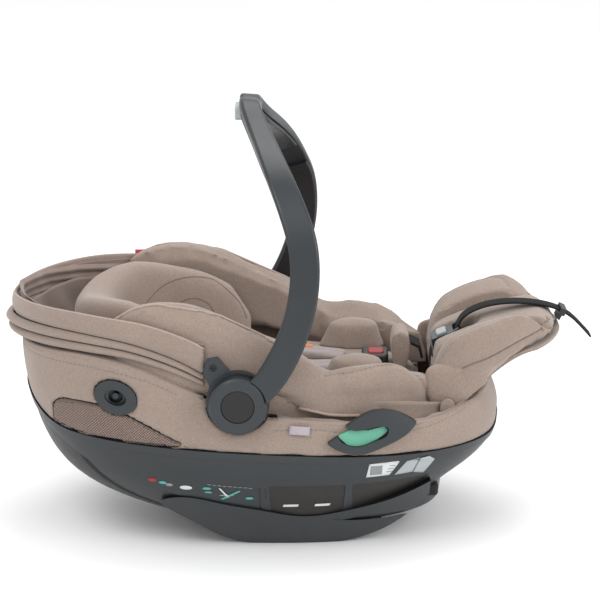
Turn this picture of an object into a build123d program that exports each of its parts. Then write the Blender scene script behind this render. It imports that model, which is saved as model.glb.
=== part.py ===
from build123d import *

import math
import os

# Infant car seat (rear-facing carrier), millimetres.
# X runs from the head end (-) to the foot end (+), Z is up, the left side is -Y.
# The origin is on the floor under the middle of the docking block.

os.makedirs("parts", exist_ok=True)

# ---------------------------------------------------------------- driving dimensions

# Hull ovals, one per height: (z, half width, head end x, foot end x)
HULL = (
    (22, 108, -184, 118),
    (60, 166, -262, 186),
    (100, 190, -316, 231),
    (145, 203, -340, 259),
    (185, 201, -352, 249),
    (225, 198, -359, 240),
    (262, 195, -359, 232),
)
OVAL_POWER = 2.45
OVAL_POINTS = 16
REACH = 260

SHROUD_THICK = 2.4
SHELL_GAP = 0.2
COVER_THICK = 5.0
SHELL_INNER = 7.6
SHELL_FLOOR = 10.0

# Side-view curves, (x, z)
RIM_LINE = (
    (-400, 226), (-352, 189), (-322, 165), (-266, 155), (-63, 146), (94, 139), (290, 138),
)
COVER_TOP = (
    (-400, 250), (-330, 254), (-260, 257), (-195, 247), (-137, 224), (-76, 201),
    (30, 183), (150, 174), (200, 183), (244, 196), (290, 208),
)
SHROUD_EDGE = (
    (-400, 203), (-352, 170), (-322, 149), (-266, 118), (-190, 92), (-51, 50), (3, 38), (94, 50),
    (150, 62), (210, 40), (290, 24),
)

# Carrying handle
PIVOT_X = -76
PIVOT_Z = 212
HUB_RADIUS = 35.5
HUB_IN = 204.3
HUB_OUT = 222.0
RELEASE_RADIUS = 20.5
AXLE_RADIUS = 7.0
HANDLE_PATH = (
    (-51, -213, 229), (-23, -211, 267), (-3.6, -207, 313), (4.6, -202, 353), (4.5, -194, 400),
    (-5, -180, 434), (-32, -128, 490), (-57, -52, 530), (-61, 0, 538),
)
HANDLE_STATIONS = 12
HANDLE_WIDTH_LOW = 36
HANDLE_WIDTH_TOP = 26
HANDLE_OUTER = 9.0
HANDLE_SPLIT = -3.0
HANDLE_INNER = -9.0

# Canopy
CANOPY_X = -106
CANOPY_Z = 256
CANOPY_PLAN = ((-118, -193.5), (-197, -180), (-262, -158), (-318, -118), (-355, -66), (-372, 0))
PIN_RADIUS = 3.0

# Fixed hub bracket
BRACKET_IN = 193
BRACKET_OUT = 203.4
TAB_IN = 197.6
TAB_OUT = 201.8
PIN_HEAD_IN = 200.0

# Leg rest
LEG_X = 186
LEG_Z = 182
LEG_HALF = 113

FIT = 0.06


# ---------------------------------------------------------------- shared shapes

def oval_points(half_width, x_head, x_foot):
    """Points round one superellipse."""
    middle = (x_head + x_foot) / 2
    half_length = (x_foot - x_head) / 2
    points = []
    for i in range(OVAL_POINTS):
        angle = 2 * math.pi * i / OVAL_POINTS
        c = math.cos(angle)
        s = math.sin(angle)
        x = middle + half_length * math.copysign(abs(c) ** (2 / OVAL_POWER), c)
        y = half_width * math.copysign(abs(s) ** (2 / OVAL_POWER), s)
        points.append((x, y))
    return points


def oval_form(sections, inset=0.0, lift=0.0):
    """Smooth solid through a stack of ovals, drawn in by inset, its floor raised by lift."""
    with BuildPart() as body:
        for index, (z, half_width, x_head, x_foot) in enumerate(sections):
            height = z + lift if index == 0 else z
            with BuildSketch(Plane.XY.offset(height)):
                with BuildLine():
                    Spline(
                        *oval_points(half_width - inset, x_head + inset, x_foot - inset),
                        periodic=True,
                    )
                make_face()
        loft()
    return body.part


def curve_prism(top, bottom):
    """The area between two side-view curves, carried right across the object."""
    with BuildPart() as block:
        with BuildSketch(Plane.XZ):
            with BuildLine():
                upper = Spline(*top)
                lower = Spline(*bottom)
                Line(upper @ 0, lower @ 0)
                Line(upper @ 1, lower @ 1)
            make_face()
        extrude(amount=REACH, both=True)
    return block.part


def outline_prism(points, y_from, y_to, radius=0.0):
    """A side-view polygon with rounded corners, between two values of y."""
    with BuildPart() as block:
        with BuildSketch(Plane.XZ.offset(-y_to)) as sketch:
            with BuildLine():
                Polyline(*points, close=True)
            make_face()
            if radius:
                fillet(sketch.vertices(), radius)
        extrude(amount=y_to - y_from)
    return block.part


def round_prism(x, z, radius, y_from, y_to):
    """A round bar across the object."""
    with BuildPart() as bar:
        with BuildSketch(Plane.XZ.offset(-y_to)):
            with Locations((x, z)):
                Circle(radius)
        extrude(amount=y_to - y_from)
    return bar.part


def both_sides(y_near, y_far):
    """The y ranges of a pair of pieces, left then right, from the distances off the middle."""
    return ((-y_far, -y_near), (y_near, y_far))


def save(piece, label, colour=None):
    piece.label = label
    if colour:
        piece.color = Color(*colour)
    export_step(piece, f"parts/{label}.step")


def save_pair(left, label, colour=None):
    """Write a left piece and its mirror image."""
    save(left, f"{label}_left", colour)
    save(mirror(left, about=Plane.XZ), f"{label}_right", colour)


DARK = (0.24, 0.27, 0.28)
PANEL = (0.22, 0.21, 0.20)
BLACK = (0.08, 0.08, 0.09)
FABRIC = (0.70, 0.62, 0.57)
FOAM = (0.85, 0.85, 0.82)
STEEL = (0.72, 0.74, 0.76)
GREEN = (0.43, 0.72, 0.63)
LIGHT = (0.75, 0.77, 0.78)
RED = (0.78, 0.16, 0.16)

# ---------------------------------------------------------------- hull forms

hull = oval_form(HULL)
hull_shroud_in = oval_form(HULL, SHROUD_THICK, 2)
hull_shell_low = oval_form(HULL, SHROUD_THICK + SHELL_GAP, 2.6)
hull_cover_in = oval_form(HULL, COVER_THICK, 4)
hull_shell_high = oval_form(HULL, COVER_THICK + SHELL_GAP, 4.4)
hull_shell_in = oval_form(HULL, SHELL_INNER, SHELL_FLOOR)
hull_foam = oval_form(HULL, SHELL_INNER + SHELL_GAP, SHELL_FLOOR + SHELL_GAP)
hull_clear = oval_form(HULL, -0.3)

rim_low = tuple((x, z - 9) for x, z in RIM_LINE)
rim_high = tuple((x, z + 0.3) for x, z in RIM_LINE)
deep = tuple((x, -20) for x, z in RIM_LINE)
below_rim = curve_prism(RIM_LINE, deep)
shell_top = tuple((x, z - 8) for x, z in COVER_TOP)
below_shell_top = curve_prism(shell_top, deep)

# Cutters used on several layers
hub_pockets = []
for y_from, y_to in both_sides(BRACKET_IN, 240):
    hub_pockets.append(round_prism(PIVOT_X, PIVOT_Z, 41, y_from, y_to))
axle_holes = round_prism(PIVOT_X, PIVOT_Z, AXLE_RADIUS + FIT, -REACH, REACH)

# ---------------------------------------------------------------- impact socket

SOCKET_X = -228
SOCKET_Z = 211
SOCKET_A = 27
SOCKET_B = 21.5
SOCKET_TILT = -12
SOCKET_BACK = 152


def socket_prism(a, b, y_from, y_to):
    """Oval bar across the object at the side impact socket."""
    with BuildPart() as bar:
        with BuildSketch(Plane.XZ.offset(-y_to)):
            with Locations(Location((SOCKET_X, SOCKET_Z), SOCKET_TILT)):
                Ellipse(a, b)
        extrude(amount=y_to - y_from)
    return bar.part


socket_cut = socket_prism(SOCKET_A + 0.2, SOCKET_B + 0.2, -REACH, -SOCKET_BACK + 0.2)
socket_cut_right = mirror(socket_cut, about=Plane.XZ)
hull_bezel = oval_form(HULL, -2.6)

with BuildPart() as impact_socket:
    add(socket_prism(SOCKET_A, SOCKET_B, -REACH, -SOCKET_BACK))
    add(hull_bezel, mode=Mode.INTERSECT)
    add(socket_prism(14, 10, -REACH, -172), mode=Mode.SUBTRACT)
    add(round_prism(SOCKET_X, SOCKET_Z, 9, -REACH, -162), mode=Mode.SUBTRACT)
    add(round_prism(SOCKET_X, SOCKET_Z, 4, -172, -161.9))
save_pair(impact_socket.part, "impact_socket", DARK)

# ---------------------------------------------------------------- base shell and shroud

with BuildPart() as base_shell:
    add(hull_shell_low)
    add(below_rim, mode=Mode.INTERSECT)
    add(hull_shell_high)
    add(below_shell_top, mode=Mode.INTERSECT)
    add(hull_shell_in, mode=Mode.SUBTRACT)
    for pocket in hub_pockets:
        add(pocket, mode=Mode.SUBTRACT)
    add(axle_holes, mode=Mode.SUBTRACT)
    add(socket_cut, mode=Mode.SUBTRACT)
    add(socket_cut_right, mode=Mode.SUBTRACT)
save(base_shell.part, "base_shell", DARK)

PANEL_TOP = 99
panel_windows = (
    ((-39, PANEL_TOP), (57, PANEL_TOP), (54, 52), (30, 46), (-20, 46), (-36, 54)),
    ((65, PANEL_TOP), (150, PANEL_TOP + 2), (158, 94), (120, 66), (90, 55), (66, 52)),
)

with BuildPart() as outer_shroud:
    add(hull)
    add(hull_shroud_in, mode=Mode.SUBTRACT)
    add(curve_prism(rim_low, SHROUD_EDGE), mode=Mode.INTERSECT)
    for window in panel_windows:
        add(outline_prism(window, -REACH, REACH, 3), mode=Mode.SUBTRACT)
save(outer_shroud.part, "outer_shroud", DARK)

hull_panel = oval_form(HULL, 1.0)
with BuildPart() as side_panels:
    for window in panel_windows:
        shrunk = outline_prism(window, -REACH, 0, 3)
        add(shrunk)
    add(hull_panel, mode=Mode.INTERSECT)
    add(hull_shroud_in, mode=Mode.SUBTRACT)
save_pair(side_panels.part, "side_panels", PANEL)

hull_lip = oval_form(HULL, -2.0)
with BuildPart() as rim_trim:
    add(hull_lip)
    add(hull_shroud_in, mode=Mode.SUBTRACT)
    add(curve_prism(RIM_LINE, rim_low), mode=Mode.INTERSECT)
save(rim_trim.part, "rim_trim", DARK)

# Keel cover closes the underside of the head end, between the shroud's lower edges
keel_line = tuple((x, z - 0.3) for x, z in SHROUD_EDGE)
with BuildPart() as keel_cover:
    add(hull)
    add(hull_shroud_in, mode=Mode.SUBTRACT)
    add(curve_prism(keel_line, tuple((x, -20) for x, z in SHROUD_EDGE)), mode=Mode.INTERSECT)
    with Locations((-280, 0, 120)):
        Box(220, 270, 240, mode=Mode.INTERSECT)
save(keel_cover.part, "keel_cover", BLACK)

# ---------------------------------------------------------------- rockers and dock

# Rocker ovals, a little proud of the hull where they meet it
ROCKER = (
    (-2, 124, -215, 160),
    (28, 148, -250, 184),
    (58, 167.5, -280, 205),
    (100, 193, -330, 250),
)
ROCKER_TOP = (
    (-175, 70), (-136, 78), (-95, 69), (-51, 60), (3, 49), (54, 55), (125, 72), (165, 90),
)
ROCKER_BOTTOM = (
    (-175, 62), (-130, 33), (-92, 9), (-62, 0), (0, 0), (52, 0), (88, 9), (124, 26), (165, 64),
)
rocker_outer = oval_form(ROCKER)
rocker_inner = oval_form(ROCKER, 9)
with BuildPart() as rocker_prism:
    with BuildSketch(Plane.XZ):
        with BuildLine():
            Spline(*ROCKER_TOP)
            Spline(*ROCKER_BOTTOM[:4], tangents=((0.8, -0.6), (1, 0)), tangent_scalars=(1, 0.5))
            Line(ROCKER_BOTTOM[3], ROCKER_BOTTOM[5])
            Spline(*ROCKER_BOTTOM[5:], tangents=((1, 0), (0.6, 0.8)), tangent_scalars=(0.5, 1))
            Line(ROCKER_TOP[0], ROCKER_BOTTOM[0])
            Line(ROCKER_TOP[-1], ROCKER_BOTTOM[-1])
        make_face()
    extrude(amount=REACH)

with BuildPart() as rocker_rail:
    add(rocker_prism.part)
    add(rocker_outer, mode=Mode.INTERSECT)
    add(rocker_inner, mode=Mode.SUBTRACT)
    add(hull_clear, mode=Mode.SUBTRACT)
save_pair(rocker_rail.part, "rocker_rail", DARK)

DOCK_HALF = 88
DOCK_FRONT = ((-169, 51), (-154, 30), (-145, 19), (-97, 1.2), (-85, 0))
LATCH_X = (-62, 46)
LATCH_BAR = 5
with BuildPart() as dock_block:
    with BuildSketch(Plane.XZ):
        with BuildLine():
            nose = Polyline(*DOCK_FRONT)
            Line(nose @ 1, (62, 0))
            tail = Spline((62, 0), (100, 15), (120, 51), tangents=((1, 0), (0.35, 1)))
            Line(tail @ 1, nose @ 0)
        make_face()
    extrude(amount=DOCK_HALF, both=True)
    add(hull_clear, mode=Mode.SUBTRACT)
    with Locations((-10, 0, 21)):
        Box(190, 2 * DOCK_HALF - 12, 30, mode=Mode.SUBTRACT)
    for x in LATCH_X:
        with Locations((x, 0, 11)):
            Box(38, 128, 22)
    with Locations(*((x, 0, 0) for x in LATCH_X)):
        Box(30, 96, 30, mode=Mode.SUBTRACT)
    for x in LATCH_X:
        add(round_prism(x, 10, LATCH_BAR + FIT, -60, 60), mode=Mode.SUBTRACT)
save(dock_block.part, "dock_block", BLACK)

with BuildPart() as latch_bars:
    for x in LATCH_X:
        add(round_prism(x, 10, LATCH_BAR, -60, 60))
save(latch_bars.part, "latch_bars", STEEL)

with BuildPart() as foot_bumper:
    with Locations((164, -82, 60)):
        Box(28, 24, 17)
    fillet(foot_bumper.edges(), 5)
    add(hull_clear, mode=Mode.SUBTRACT)
save(foot_bumper.part, "foot_bumper", BLACK)

# ---------------------------------------------------------------- side cover and mesh

MESH_LENS = ((-312, 178), (-307, 191), (-265, 199), (-224, 192), (-185, 175), (-128, 151))
mesh_bottom = ((-312, 163.5), (-266, 157), (-200, 154.6), (-128, 150.5))


def mesh_prism(grow):
    """Lens-shaped area of the mesh panel, enlarged by grow."""
    with BuildPart() as block:
        with BuildSketch(Plane.XZ):
            with BuildLine():
                top = Spline(*((x, z + grow) for x, z in MESH_LENS))
                bottom = Spline(*((x, z - grow) for x, z in mesh_bottom))
                Line(top @ 0, bottom @ 0)
                Line(top @ 1, bottom @ 1)
            make_face()
        extrude(amount=REACH)
    return block.part


mesh_cut = mesh_prism(0.3)
mesh_cut_right = mirror(mesh_cut, about=Plane.XZ)
with BuildPart() as mesh_panel:
    add(mesh_prism(0))
    add(hull, mode=Mode.INTERSECT)
    add(hull_cover_in, mode=Mode.SUBTRACT)
    add(socket_cut, mode=Mode.SUBTRACT)
save_pair(mesh_panel.part, "mesh_panel", FABRIC)

with BuildPart() as side_cover:
    add(hull)
    add(hull_cover_in, mode=Mode.SUBTRACT)
    add(curve_prism(COVER_TOP, rim_high), mode=Mode.INTERSECT)
    for pocket in hub_pockets:
        add(pocket, mode=Mode.SUBTRACT)
    add(socket_cut, mode=Mode.SUBTRACT)
    add(socket_cut_right, mode=Mode.SUBTRACT)
    add(mesh_cut, mode=Mode.SUBTRACT)
    add(mesh_cut_right, mode=Mode.SUBTRACT)
save(side_cover.part, "side_cover", FABRIC)

# ---------------------------------------------------------------- belt guides

hull_guide_out = oval_form(HULL, -10)
GUIDE_RUNS = (
    ((34, 161), (54, 149), (78, 146), (104, 154), (137, 171), (144, 179)),
    ((144, 179), (130, 189), (110, 197), (90, 198), (68, 189), (56, 181)),
    ((56, 181), (80, 177), (98, 179.5), (109, 176), (108, 169), (95, 162), (76, 156), (58, 158), (46, 169)),
    ((46, 169), (34, 161)),
)
INSERT = ((46, 169), (62, 176), (84, 174), (104, 178), (109, 172), (96, 163), (76, 155), (60, 156))
with BuildPart() as guide_block:
    with BuildSketch(Plane.XZ):
        with BuildLine():
            for run in GUIDE_RUNS[:-1]:
                Spline(*run)
            Line(*GUIDE_RUNS[-1])
        make_face()
    extrude(amount=REACH)
with BuildPart() as belt_guide:
    add(guide_block.part)
    add(hull_guide_out, mode=Mode.INTERSECT)
    add(hull_clear, mode=Mode.SUBTRACT)
save_pair(belt_guide.part, "belt_guide", DARK)

hull_insert_out = oval_form(HULL, -4.5)
with BuildPart() as belt_inserts:
    add(outline_prism(INSERT, -REACH, 0, 2.0))
    add(hull_insert_out, mode=Mode.INTERSECT)
    add(hull_clear, mode=Mode.SUBTRACT)
    add(belt_guide.part, mode=Mode.SUBTRACT)
    mirror(about=Plane.XZ)
save(belt_inserts.part, "belt_inserts", GREEN)

# ---------------------------------------------------------------- foam liner and seat

CAVITY = (
    (165, 128, -272, 206),
    (184, 140, -288, 218),
    (262, 150, -300, 222),
)
# Space under the seat, open below, that keeps the foam to a wall and a roof
FOAM_VOID = (
    (20, 92, -165, 100),
    (60, 140, -235, 162),
    (100, 165, -288, 204),
    (148, 176, -310, 226),
)
foam_top = (
    (-400, 184), (-200, 184), (-100, 184), (-20, 184), (30, 178), (150, 168), (200, 176), (244, 188),
    (290, 200),
)
cavity = oval_form(CAVITY)
with BuildPart() as foam_liner:
    add(hull_foam)
    add(curve_prism(foam_top, deep), mode=Mode.INTERSECT)
    add(cavity, mode=Mode.SUBTRACT)
    add(oval_form(FOAM_VOID), mode=Mode.SUBTRACT)
    with Locations((196, 0, 192)):
        Box(74, 252, 90, mode=Mode.SUBTRACT)
    for pocket in hub_pockets:
        add(pocket, mode=Mode.SUBTRACT)
    add(axle_holes, mode=Mode.SUBTRACT)
    add(socket_cut, mode=Mode.SUBTRACT)
    add(socket_cut_right, mode=Mode.SUBTRACT)
save(foam_liner.part, "foam_liner", FOAM)

SEAT_PAD = ((165.5, 122, -262, 150), (182, 134, -280, 156), (200, 137, -284, 157))
seat_pad = oval_form(SEAT_PAD)
save(seat_pad, "seat_pad", FABRIC)

# ---------------------------------------------------------------- side bolsters

WALL_OUT = (
    (164, 186, -334, 190),
    (240, 183, -334, 186),
    (345, 163, -370, 180),
)
WALL_IN = (
    (164, 156, -480, 160),
    (240, 151, -480, 158),
    (345, 132, -480, 152),
)
BOLSTER_TOP = (
    (-236, 297), (-210, 312), (-172, 320), (-104, 309), (-61, 290), (2, 260), (37, 242), (62, 243),
    (96, 247), (123, 246), (147, 230), (163, 205), (169, 180),
)
bolster_bottom = (
    (-236, 201), (-100, 201), (-20, 198), (30, 184), (80, 178), (150, 173), (169, 173),
)
wall_out = oval_form(WALL_OUT)
wall_in = oval_form(WALL_IN)
with BuildPart() as side_bolster:
    add(curve_prism(BOLSTER_TOP, bolster_bottom))
    add(wall_out, mode=Mode.INTERSECT)
    add(wall_in, mode=Mode.SUBTRACT)
    split(bisect_by=Plane.XZ.offset(90), keep=Keep.TOP)
    add(socket_cut, mode=Mode.SUBTRACT)
save_pair(side_bolster.part, "side_bolster", FABRIC)

# ---------------------------------------------------------------- hub brackets and axles

with BuildPart() as hub_bracket:
    with BuildSketch(Plane.XZ.offset(BRACKET_IN)):
        with Locations((PIVOT_X, PIVOT_Z)):
            Circle(39)
            Circle(AXLE_RADIUS + FIT, mode=Mode.SUBTRACT)
    extrude(amount=BRACKET_OUT - BRACKET_IN)
    with BuildSketch(Plane.XZ.offset(TAB_IN)):
        with BuildLine():
            Polyline(
                (-118, 249), (-114, 267), (-100, 270), (-84, 250), (-48, 236), (-76, 215), (-110, 230),
                close=True,
            )
        make_face()
    extrude(amount=TAB_OUT - TAB_IN)
    add(round_prism(CANOPY_X, CANOPY_Z, PIN_RADIUS + FIT, -REACH, -160), mode=Mode.SUBTRACT)
    add(axle_holes, mode=Mode.SUBTRACT)
    add(round_prism(CANOPY_X, CANOPY_Z, 5.06, -REACH, 0.1 - PIN_HEAD_IN), mode=Mode.SUBTRACT)
save_pair(hub_bracket.part, "hub_bracket", DARK)

with BuildPart() as handle_axles:
    add(round_prism(PIVOT_X, PIVOT_Z, AXLE_RADIUS, -206.0, -190.8))
    mirror(about=Plane.XZ)
save(handle_axles.part, "handle_axles", STEEL)

# Countersunk pins: a 6 mm shank through the canopy eyes, and a flush 10 mm head
with BuildPart() as canopy_pins:
    add(round_prism(CANOPY_X, CANOPY_Z, PIN_RADIUS, -PIN_HEAD_IN - 0.5, -186.0))
    add(round_prism(CANOPY_X, CANOPY_Z, 5.0, 0.2 - TAB_OUT, -PIN_HEAD_IN))
    with Locations((CANOPY_X, 0.2 - TAB_OUT, CANOPY_Z)):
        Box(6.5, 1.6, 1.4, mode=Mode.SUBTRACT)
        Box(1.4, 1.6, 6.5, mode=Mode.SUBTRACT)
    mirror(about=Plane.XZ)
save(canopy_pins.part, "canopy_pins", STEEL)

# ---------------------------------------------------------------- carrying handle

with BuildLine() as handle_line:
    Spline(*HANDLE_PATH, tangents=((0.75, 0.02, 0.66), (0, 1, 0)))
handle_curve = handle_line.line


def handle_plane(t):
    """Section plane of the near arm: x across the arm, y out of the arch."""
    point = handle_curve @ t
    along = (handle_curve % t).normalized()
    across = (Vector(1, 0, 0) - along * along.X).normalized()
    return Plane(origin=point, x_dir=across, z_dir=along)


def handle_width(t):
    """Arm width: full at the hubs, slimmer from half way up to the grip."""
    blend = min(1.0, max(0.0, (t - 0.45) / 0.45))
    return HANDLE_WIDTH_LOW + (HANDLE_WIDTH_TOP - HANDLE_WIDTH_LOW) * blend


def handle_loft(inner, outer, trim, first, last):
    """Half arch between two depths, measured out of the arch from its middle line."""
    with BuildPart() as arm:
        for i in range(first, last + 1):
            t = i / HANDLE_STATIONS
            thicken = 3.0 * min(1.0, max(0.0, (t - 0.6) / 0.35))
            low = inner - (thicken if inner < HANDLE_SPLIT else 0)
            top = outer + (thicken if outer > 0 else 0)
            depth = top - low
            place = handle_plane(t)
            middle = place.origin - place.y_dir * (low + depth / 2)
            with BuildSketch(Plane(origin=middle, x_dir=place.x_dir, z_dir=place.z_dir)):
                RectangleRounded(handle_width(t) - trim, depth, depth * 0.32)
        loft()
    return arm.part


arm_near = handle_loft(HANDLE_SPLIT, HANDLE_OUTER, 0, 0, HANDLE_STATIONS)
arm_far = mirror(arm_near, about=Plane.XZ)
GRIP_BUTTON_HALF = 19
GRIP_Z = 537
with BuildPart() as grip_pocket:
    with Locations((-73, 0, GRIP_Z)):
        Box(14, 2 * GRIP_BUTTON_HALF + 0.6, 18.6)

with BuildPart() as handle_frame:
    for sign in (-1, 1):
        y_from, y_to = sorted((sign * HUB_IN, sign * 215.0))
        add(round_prism(PIVOT_X, PIVOT_Z, HUB_RADIUS, y_from, y_to))
    add(arm_near)
    add(arm_far)
    for sign in (-1, 1):
        y_from, y_to = sorted((sign * 206.4, sign * 240.0))
        add(round_prism(PIVOT_X, PIVOT_Z, RELEASE_RADIUS + 0.2, y_from, y_to), mode=Mode.SUBTRACT)
        y_from, y_to = sorted((sign * 215.2, sign * 240.0))
        add(round_prism(PIVOT_X, PIVOT_Z, HUB_RADIUS + 0.2, y_from, y_to), mode=Mode.SUBTRACT)
    add(axle_holes, mode=Mode.SUBTRACT)
    add(grip_pocket.part, mode=Mode.SUBTRACT)
save(handle_frame.part, "handle_frame", DARK)

liner_near = handle_loft(HANDLE_INNER, HANDLE_SPLIT - 0.9, 5, 1, 6)
save_pair(liner_near, "handle_liner", BLACK)

grip_near = handle_loft(HANDLE_INNER, HANDLE_SPLIT - 1.6, 4, 7, HANDLE_STATIONS)
with BuildPart() as grip_liner:
    add(grip_near)
    mirror(about=Plane.XZ)
    add(grip_pocket.part, mode=Mode.SUBTRACT)
save(grip_liner.part, "grip_liner", BLACK)

with BuildPart() as hub_cover:
    add(round_prism(PIVOT_X, PIVOT_Z, HUB_RADIUS, -HUB_OUT, -215.4))
    chamfer(hub_cover.edges().filter_by(GeomType.CIRCLE).group_by(Axis.Y)[0], 2.5)
    add(round_prism(PIVOT_X, PIVOT_Z, RELEASE_RADIUS + 0.2, -REACH, 0), mode=Mode.SUBTRACT)
save_pair(hub_cover.part, "hub_cover", DARK)

with BuildPart() as handle_release:
    add(round_prism(PIVOT_X, PIVOT_Z, RELEASE_RADIUS, -HUB_OUT + 0.6, -210.8))
    fillet(handle_release.edges().filter_by(GeomType.CIRCLE).group_by(Axis.Y)[0], 1.2)
save_pair(handle_release.part, "handle_release", BLACK)

with BuildPart() as grip_button:
    with Locations((-76.5, 0, GRIP_Z)):
        Box(12, 2 * GRIP_BUTTON_HALF, 18)
    fillet(grip_button.edges().filter_by(Axis.X), 5)
    fillet(grip_button.faces().sort_by(Axis.X)[0].edges(), 2)
save(grip_button.part, "grip_button", LIGHT)

# ---------------------------------------------------------------- canopy

def hoop_route(inset):
    """Plan curve of a canopy hoop, from the left pivot round the head to the right pivot."""
    start_x, start_y = CANOPY_PLAN[0]
    tip_x = CANOPY_PLAN[-1][0]
    along = 1 - inset / (start_x - tip_x)
    across = 1 + inset / start_y
    near = [(start_x + (x - start_x) * along, y * across) for x, y in CANOPY_PLAN]
    return near + [(x, -y) for x, y in reversed(near[:-1])]


def canopy_strip(outer_inset, inner_inset):
    """The area between two hoop curves, carried straight up."""
    with BuildPart() as strip:
        with BuildSketch(Plane.XY.offset(180)):
            with BuildLine():
                outer = Spline(*hoop_route(outer_inset))
                inner = Spline(*hoop_route(inner_inset))
                Line(outer @ 0, inner @ 0)
                Line(outer @ 1, inner @ 1)
            make_face()
        extrude(amount=170)
    return strip.part


def hoop_cover(strip, top, bottom):
    with BuildPart() as band:
        add(strip)
        add(curve_prism(top, bottom), mode=Mode.INTERSECT)
    return band.part


BAND_TOP = (
    (-390, 296), (-356, 307), (-294, 311), (-240, 309), (-188, 303), (-137, 287), (-105, 270),
)
BAND_BOTTOM = (
    (-390, 272), (-356, 283), (-313, 286.5), (-258, 285), (-206, 278), (-154, 262), (-105, 238),
)
MID_TOP = tuple((x, z - 1.2) for x, z in BAND_BOTTOM)
MID_BOTTOM = (
    (-390, 261), (-356, 270), (-313, 273.5), (-258, 273.5), (-206, 268), (-154, 253), (-105, 231),
)
BACK_TOP = tuple((x, z - 1.2) for x, z in MID_BOTTOM)
BACK_BOTTOM = (
    (-390, 251), (-356, 258), (-313, 261.5), (-258, 262.5), (-206, 258.5), (-154, 244), (-105, 225),
)
COVER_STRIP = 6.0
soft_strip = canopy_strip(0, COVER_STRIP)
save(hoop_cover(soft_strip, BAND_TOP, BAND_BOTTOM), "canopy_front_cover", FABRIC)
save(hoop_cover(soft_strip, MID_TOP, MID_BOTTOM), "canopy_mid_cover", FABRIC)
save(hoop_cover(soft_strip, BACK_TOP, BACK_BOTTOM), "canopy_back_cover", FABRIC)


def canopy_rib(name, top, bottom, inset, drop, arm):
    """Springy plastic hoop inside the fabric, with an eye at each end for the pivot pin."""
    low = tuple((x, z + drop) for x, z in bottom)
    high = tuple((x, z - drop) for x, z in top)
    plate_from = CANOPY_PLAN[0][1] + inset + 0.6
    with BuildPart() as rib:
        add(canopy_strip(inset, inset + RIB_THICK))
        add(curve_prism(high, low), mode=Mode.INTERSECT)
        for sign in (1, -1):
            y_from, y_to = sorted((sign * plate_from, sign * (plate_from + RIB_THICK)))
            add(round_prism(CANOPY_X, CANOPY_Z, 9, y_from, y_to))
            add(outline_prism(arm, y_from, y_to))
        add(round_prism(CANOPY_X, CANOPY_Z, PIN_RADIUS + FIT, -REACH, REACH), mode=Mode.SUBTRACT)
    save(rib.part, name, BLACK)


RIB_THICK = 2.0
FRONT_ARM = ((-106, 252), (-106, 263), (-122, 267), (-122, 254))
MID_ARM = ((-106, 248), (-106, 260), (-122, 248), (-122, 241))
canopy_rib("canopy_front_rib", BAND_TOP, BAND_BOTTOM, COVER_STRIP + 0.4, 6, FRONT_ARM)
canopy_rib("canopy_mid_rib", MID_TOP, MID_BOTTOM, COVER_STRIP + RIB_THICK + 0.8, 2, MID_ARM)

# ---------------------------------------------------------------- headrest

RING_X = -168
RING_LONG = 124
RING_HALF = 127
RING_TOP = (
    (-310, 262), (-292, 276), (-263, 306), (-222, 313), (-168, 305), (-120, 297), (-60, 282),
)
ring_bottom = ((-310, 210), (-200, 210), (-60, 210))
with BuildPart() as headrest_cushion:
    with BuildSketch(Plane.XY.offset(200)):
        with Locations((RING_X, 0)):
            Ellipse(RING_LONG, RING_HALF)
        with Locations((RING_X + 24, 0)):
            Rectangle(48, 2 * RING_HALF)
        with Locations((RING_X, 0)):
            Ellipse(66, 98, mode=Mode.SUBTRACT)
        with Locations((RING_X + 70, 0)):
            Rectangle(140, 2 * 98, mode=Mode.SUBTRACT)
        with Locations((RING_X + 98, 0)):
            Rectangle(100, 2 * RING_HALF + 10, mode=Mode.SUBTRACT)
    extrude(amount=160)
    add(curve_prism(RING_TOP, ring_bottom), mode=Mode.INTERSECT)
save(headrest_cushion.part, "headrest_cushion", FABRIC)

with BuildPart() as headrest_bowl:
    with BuildSketch(Plane.XY.offset(210)):
        with Locations((RING_X, 0)):
            Ellipse(65, 97)
    with BuildSketch(Plane.XY.offset(252)):
        with Locations((RING_X, 0)):
            Ellipse(64, 95)
    loft()
    with Locations((RING_X, 0, 330)):
        Sphere(102, mode=Mode.SUBTRACT)
save(headrest_bowl.part, "headrest_bowl", FABRIC)

with BuildPart() as headrest_plate:
    with BuildSketch(Plane.XY.offset(203.5)):
        with Locations((RING_X - 20, 0)):
            RectangleRounded(170, 170, 30)
    extrude(amount=6)
    with BuildSketch(Plane.XY.offset(200.5)):
        for y in (-50, 50):
            with Locations((RING_X - 20, y)):
                RectangleRounded(150, 12, 3)
    extrude(amount=3.2)
save(headrest_plate.part, "headrest_plate", DARK)

# ---------------------------------------------------------------- harness and buckle

with BuildPart() as hip_pads:
    for sign in (-1, 1):
        with BuildSketch(Plane.XY.offset(200.4)):
            with Locations((78, sign * 84)):
                Ellipse(38, 22)
        with BuildSketch(Plane.XY.offset(238)):
            with Locations((78, sign * 84)):
                Ellipse(26, 17)
        loft()
save(hip_pads.part, "hip_pads", FABRIC)

with BuildPart() as shoulder_pads:
    for sign in (-1, 1):
        with BuildSketch(Plane.XY.offset(203.4)):
            with Locations(Location((6, sign * 36), sign * -14)):
                RectangleRounded(110, 40, 12)
        extrude(amount=8)
save(shoulder_pads.part, "shoulder_pads", FABRIC)

with BuildPart() as harness_straps:
    for sign in (-1, 1):
        with BuildSketch(Plane.XY.offset(200.6)):
            with BuildLine():
                Polyline(
                    (-68, sign * 40), (-68, sign * 68), (66, sign * 32), (75, sign * 22),
                    (75, sign * 8), (56, sign * 9), close=True,
                )
            make_face()
        extrude(amount=2.6)
save(harness_straps.part, "harness_straps", BLACK)

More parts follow.
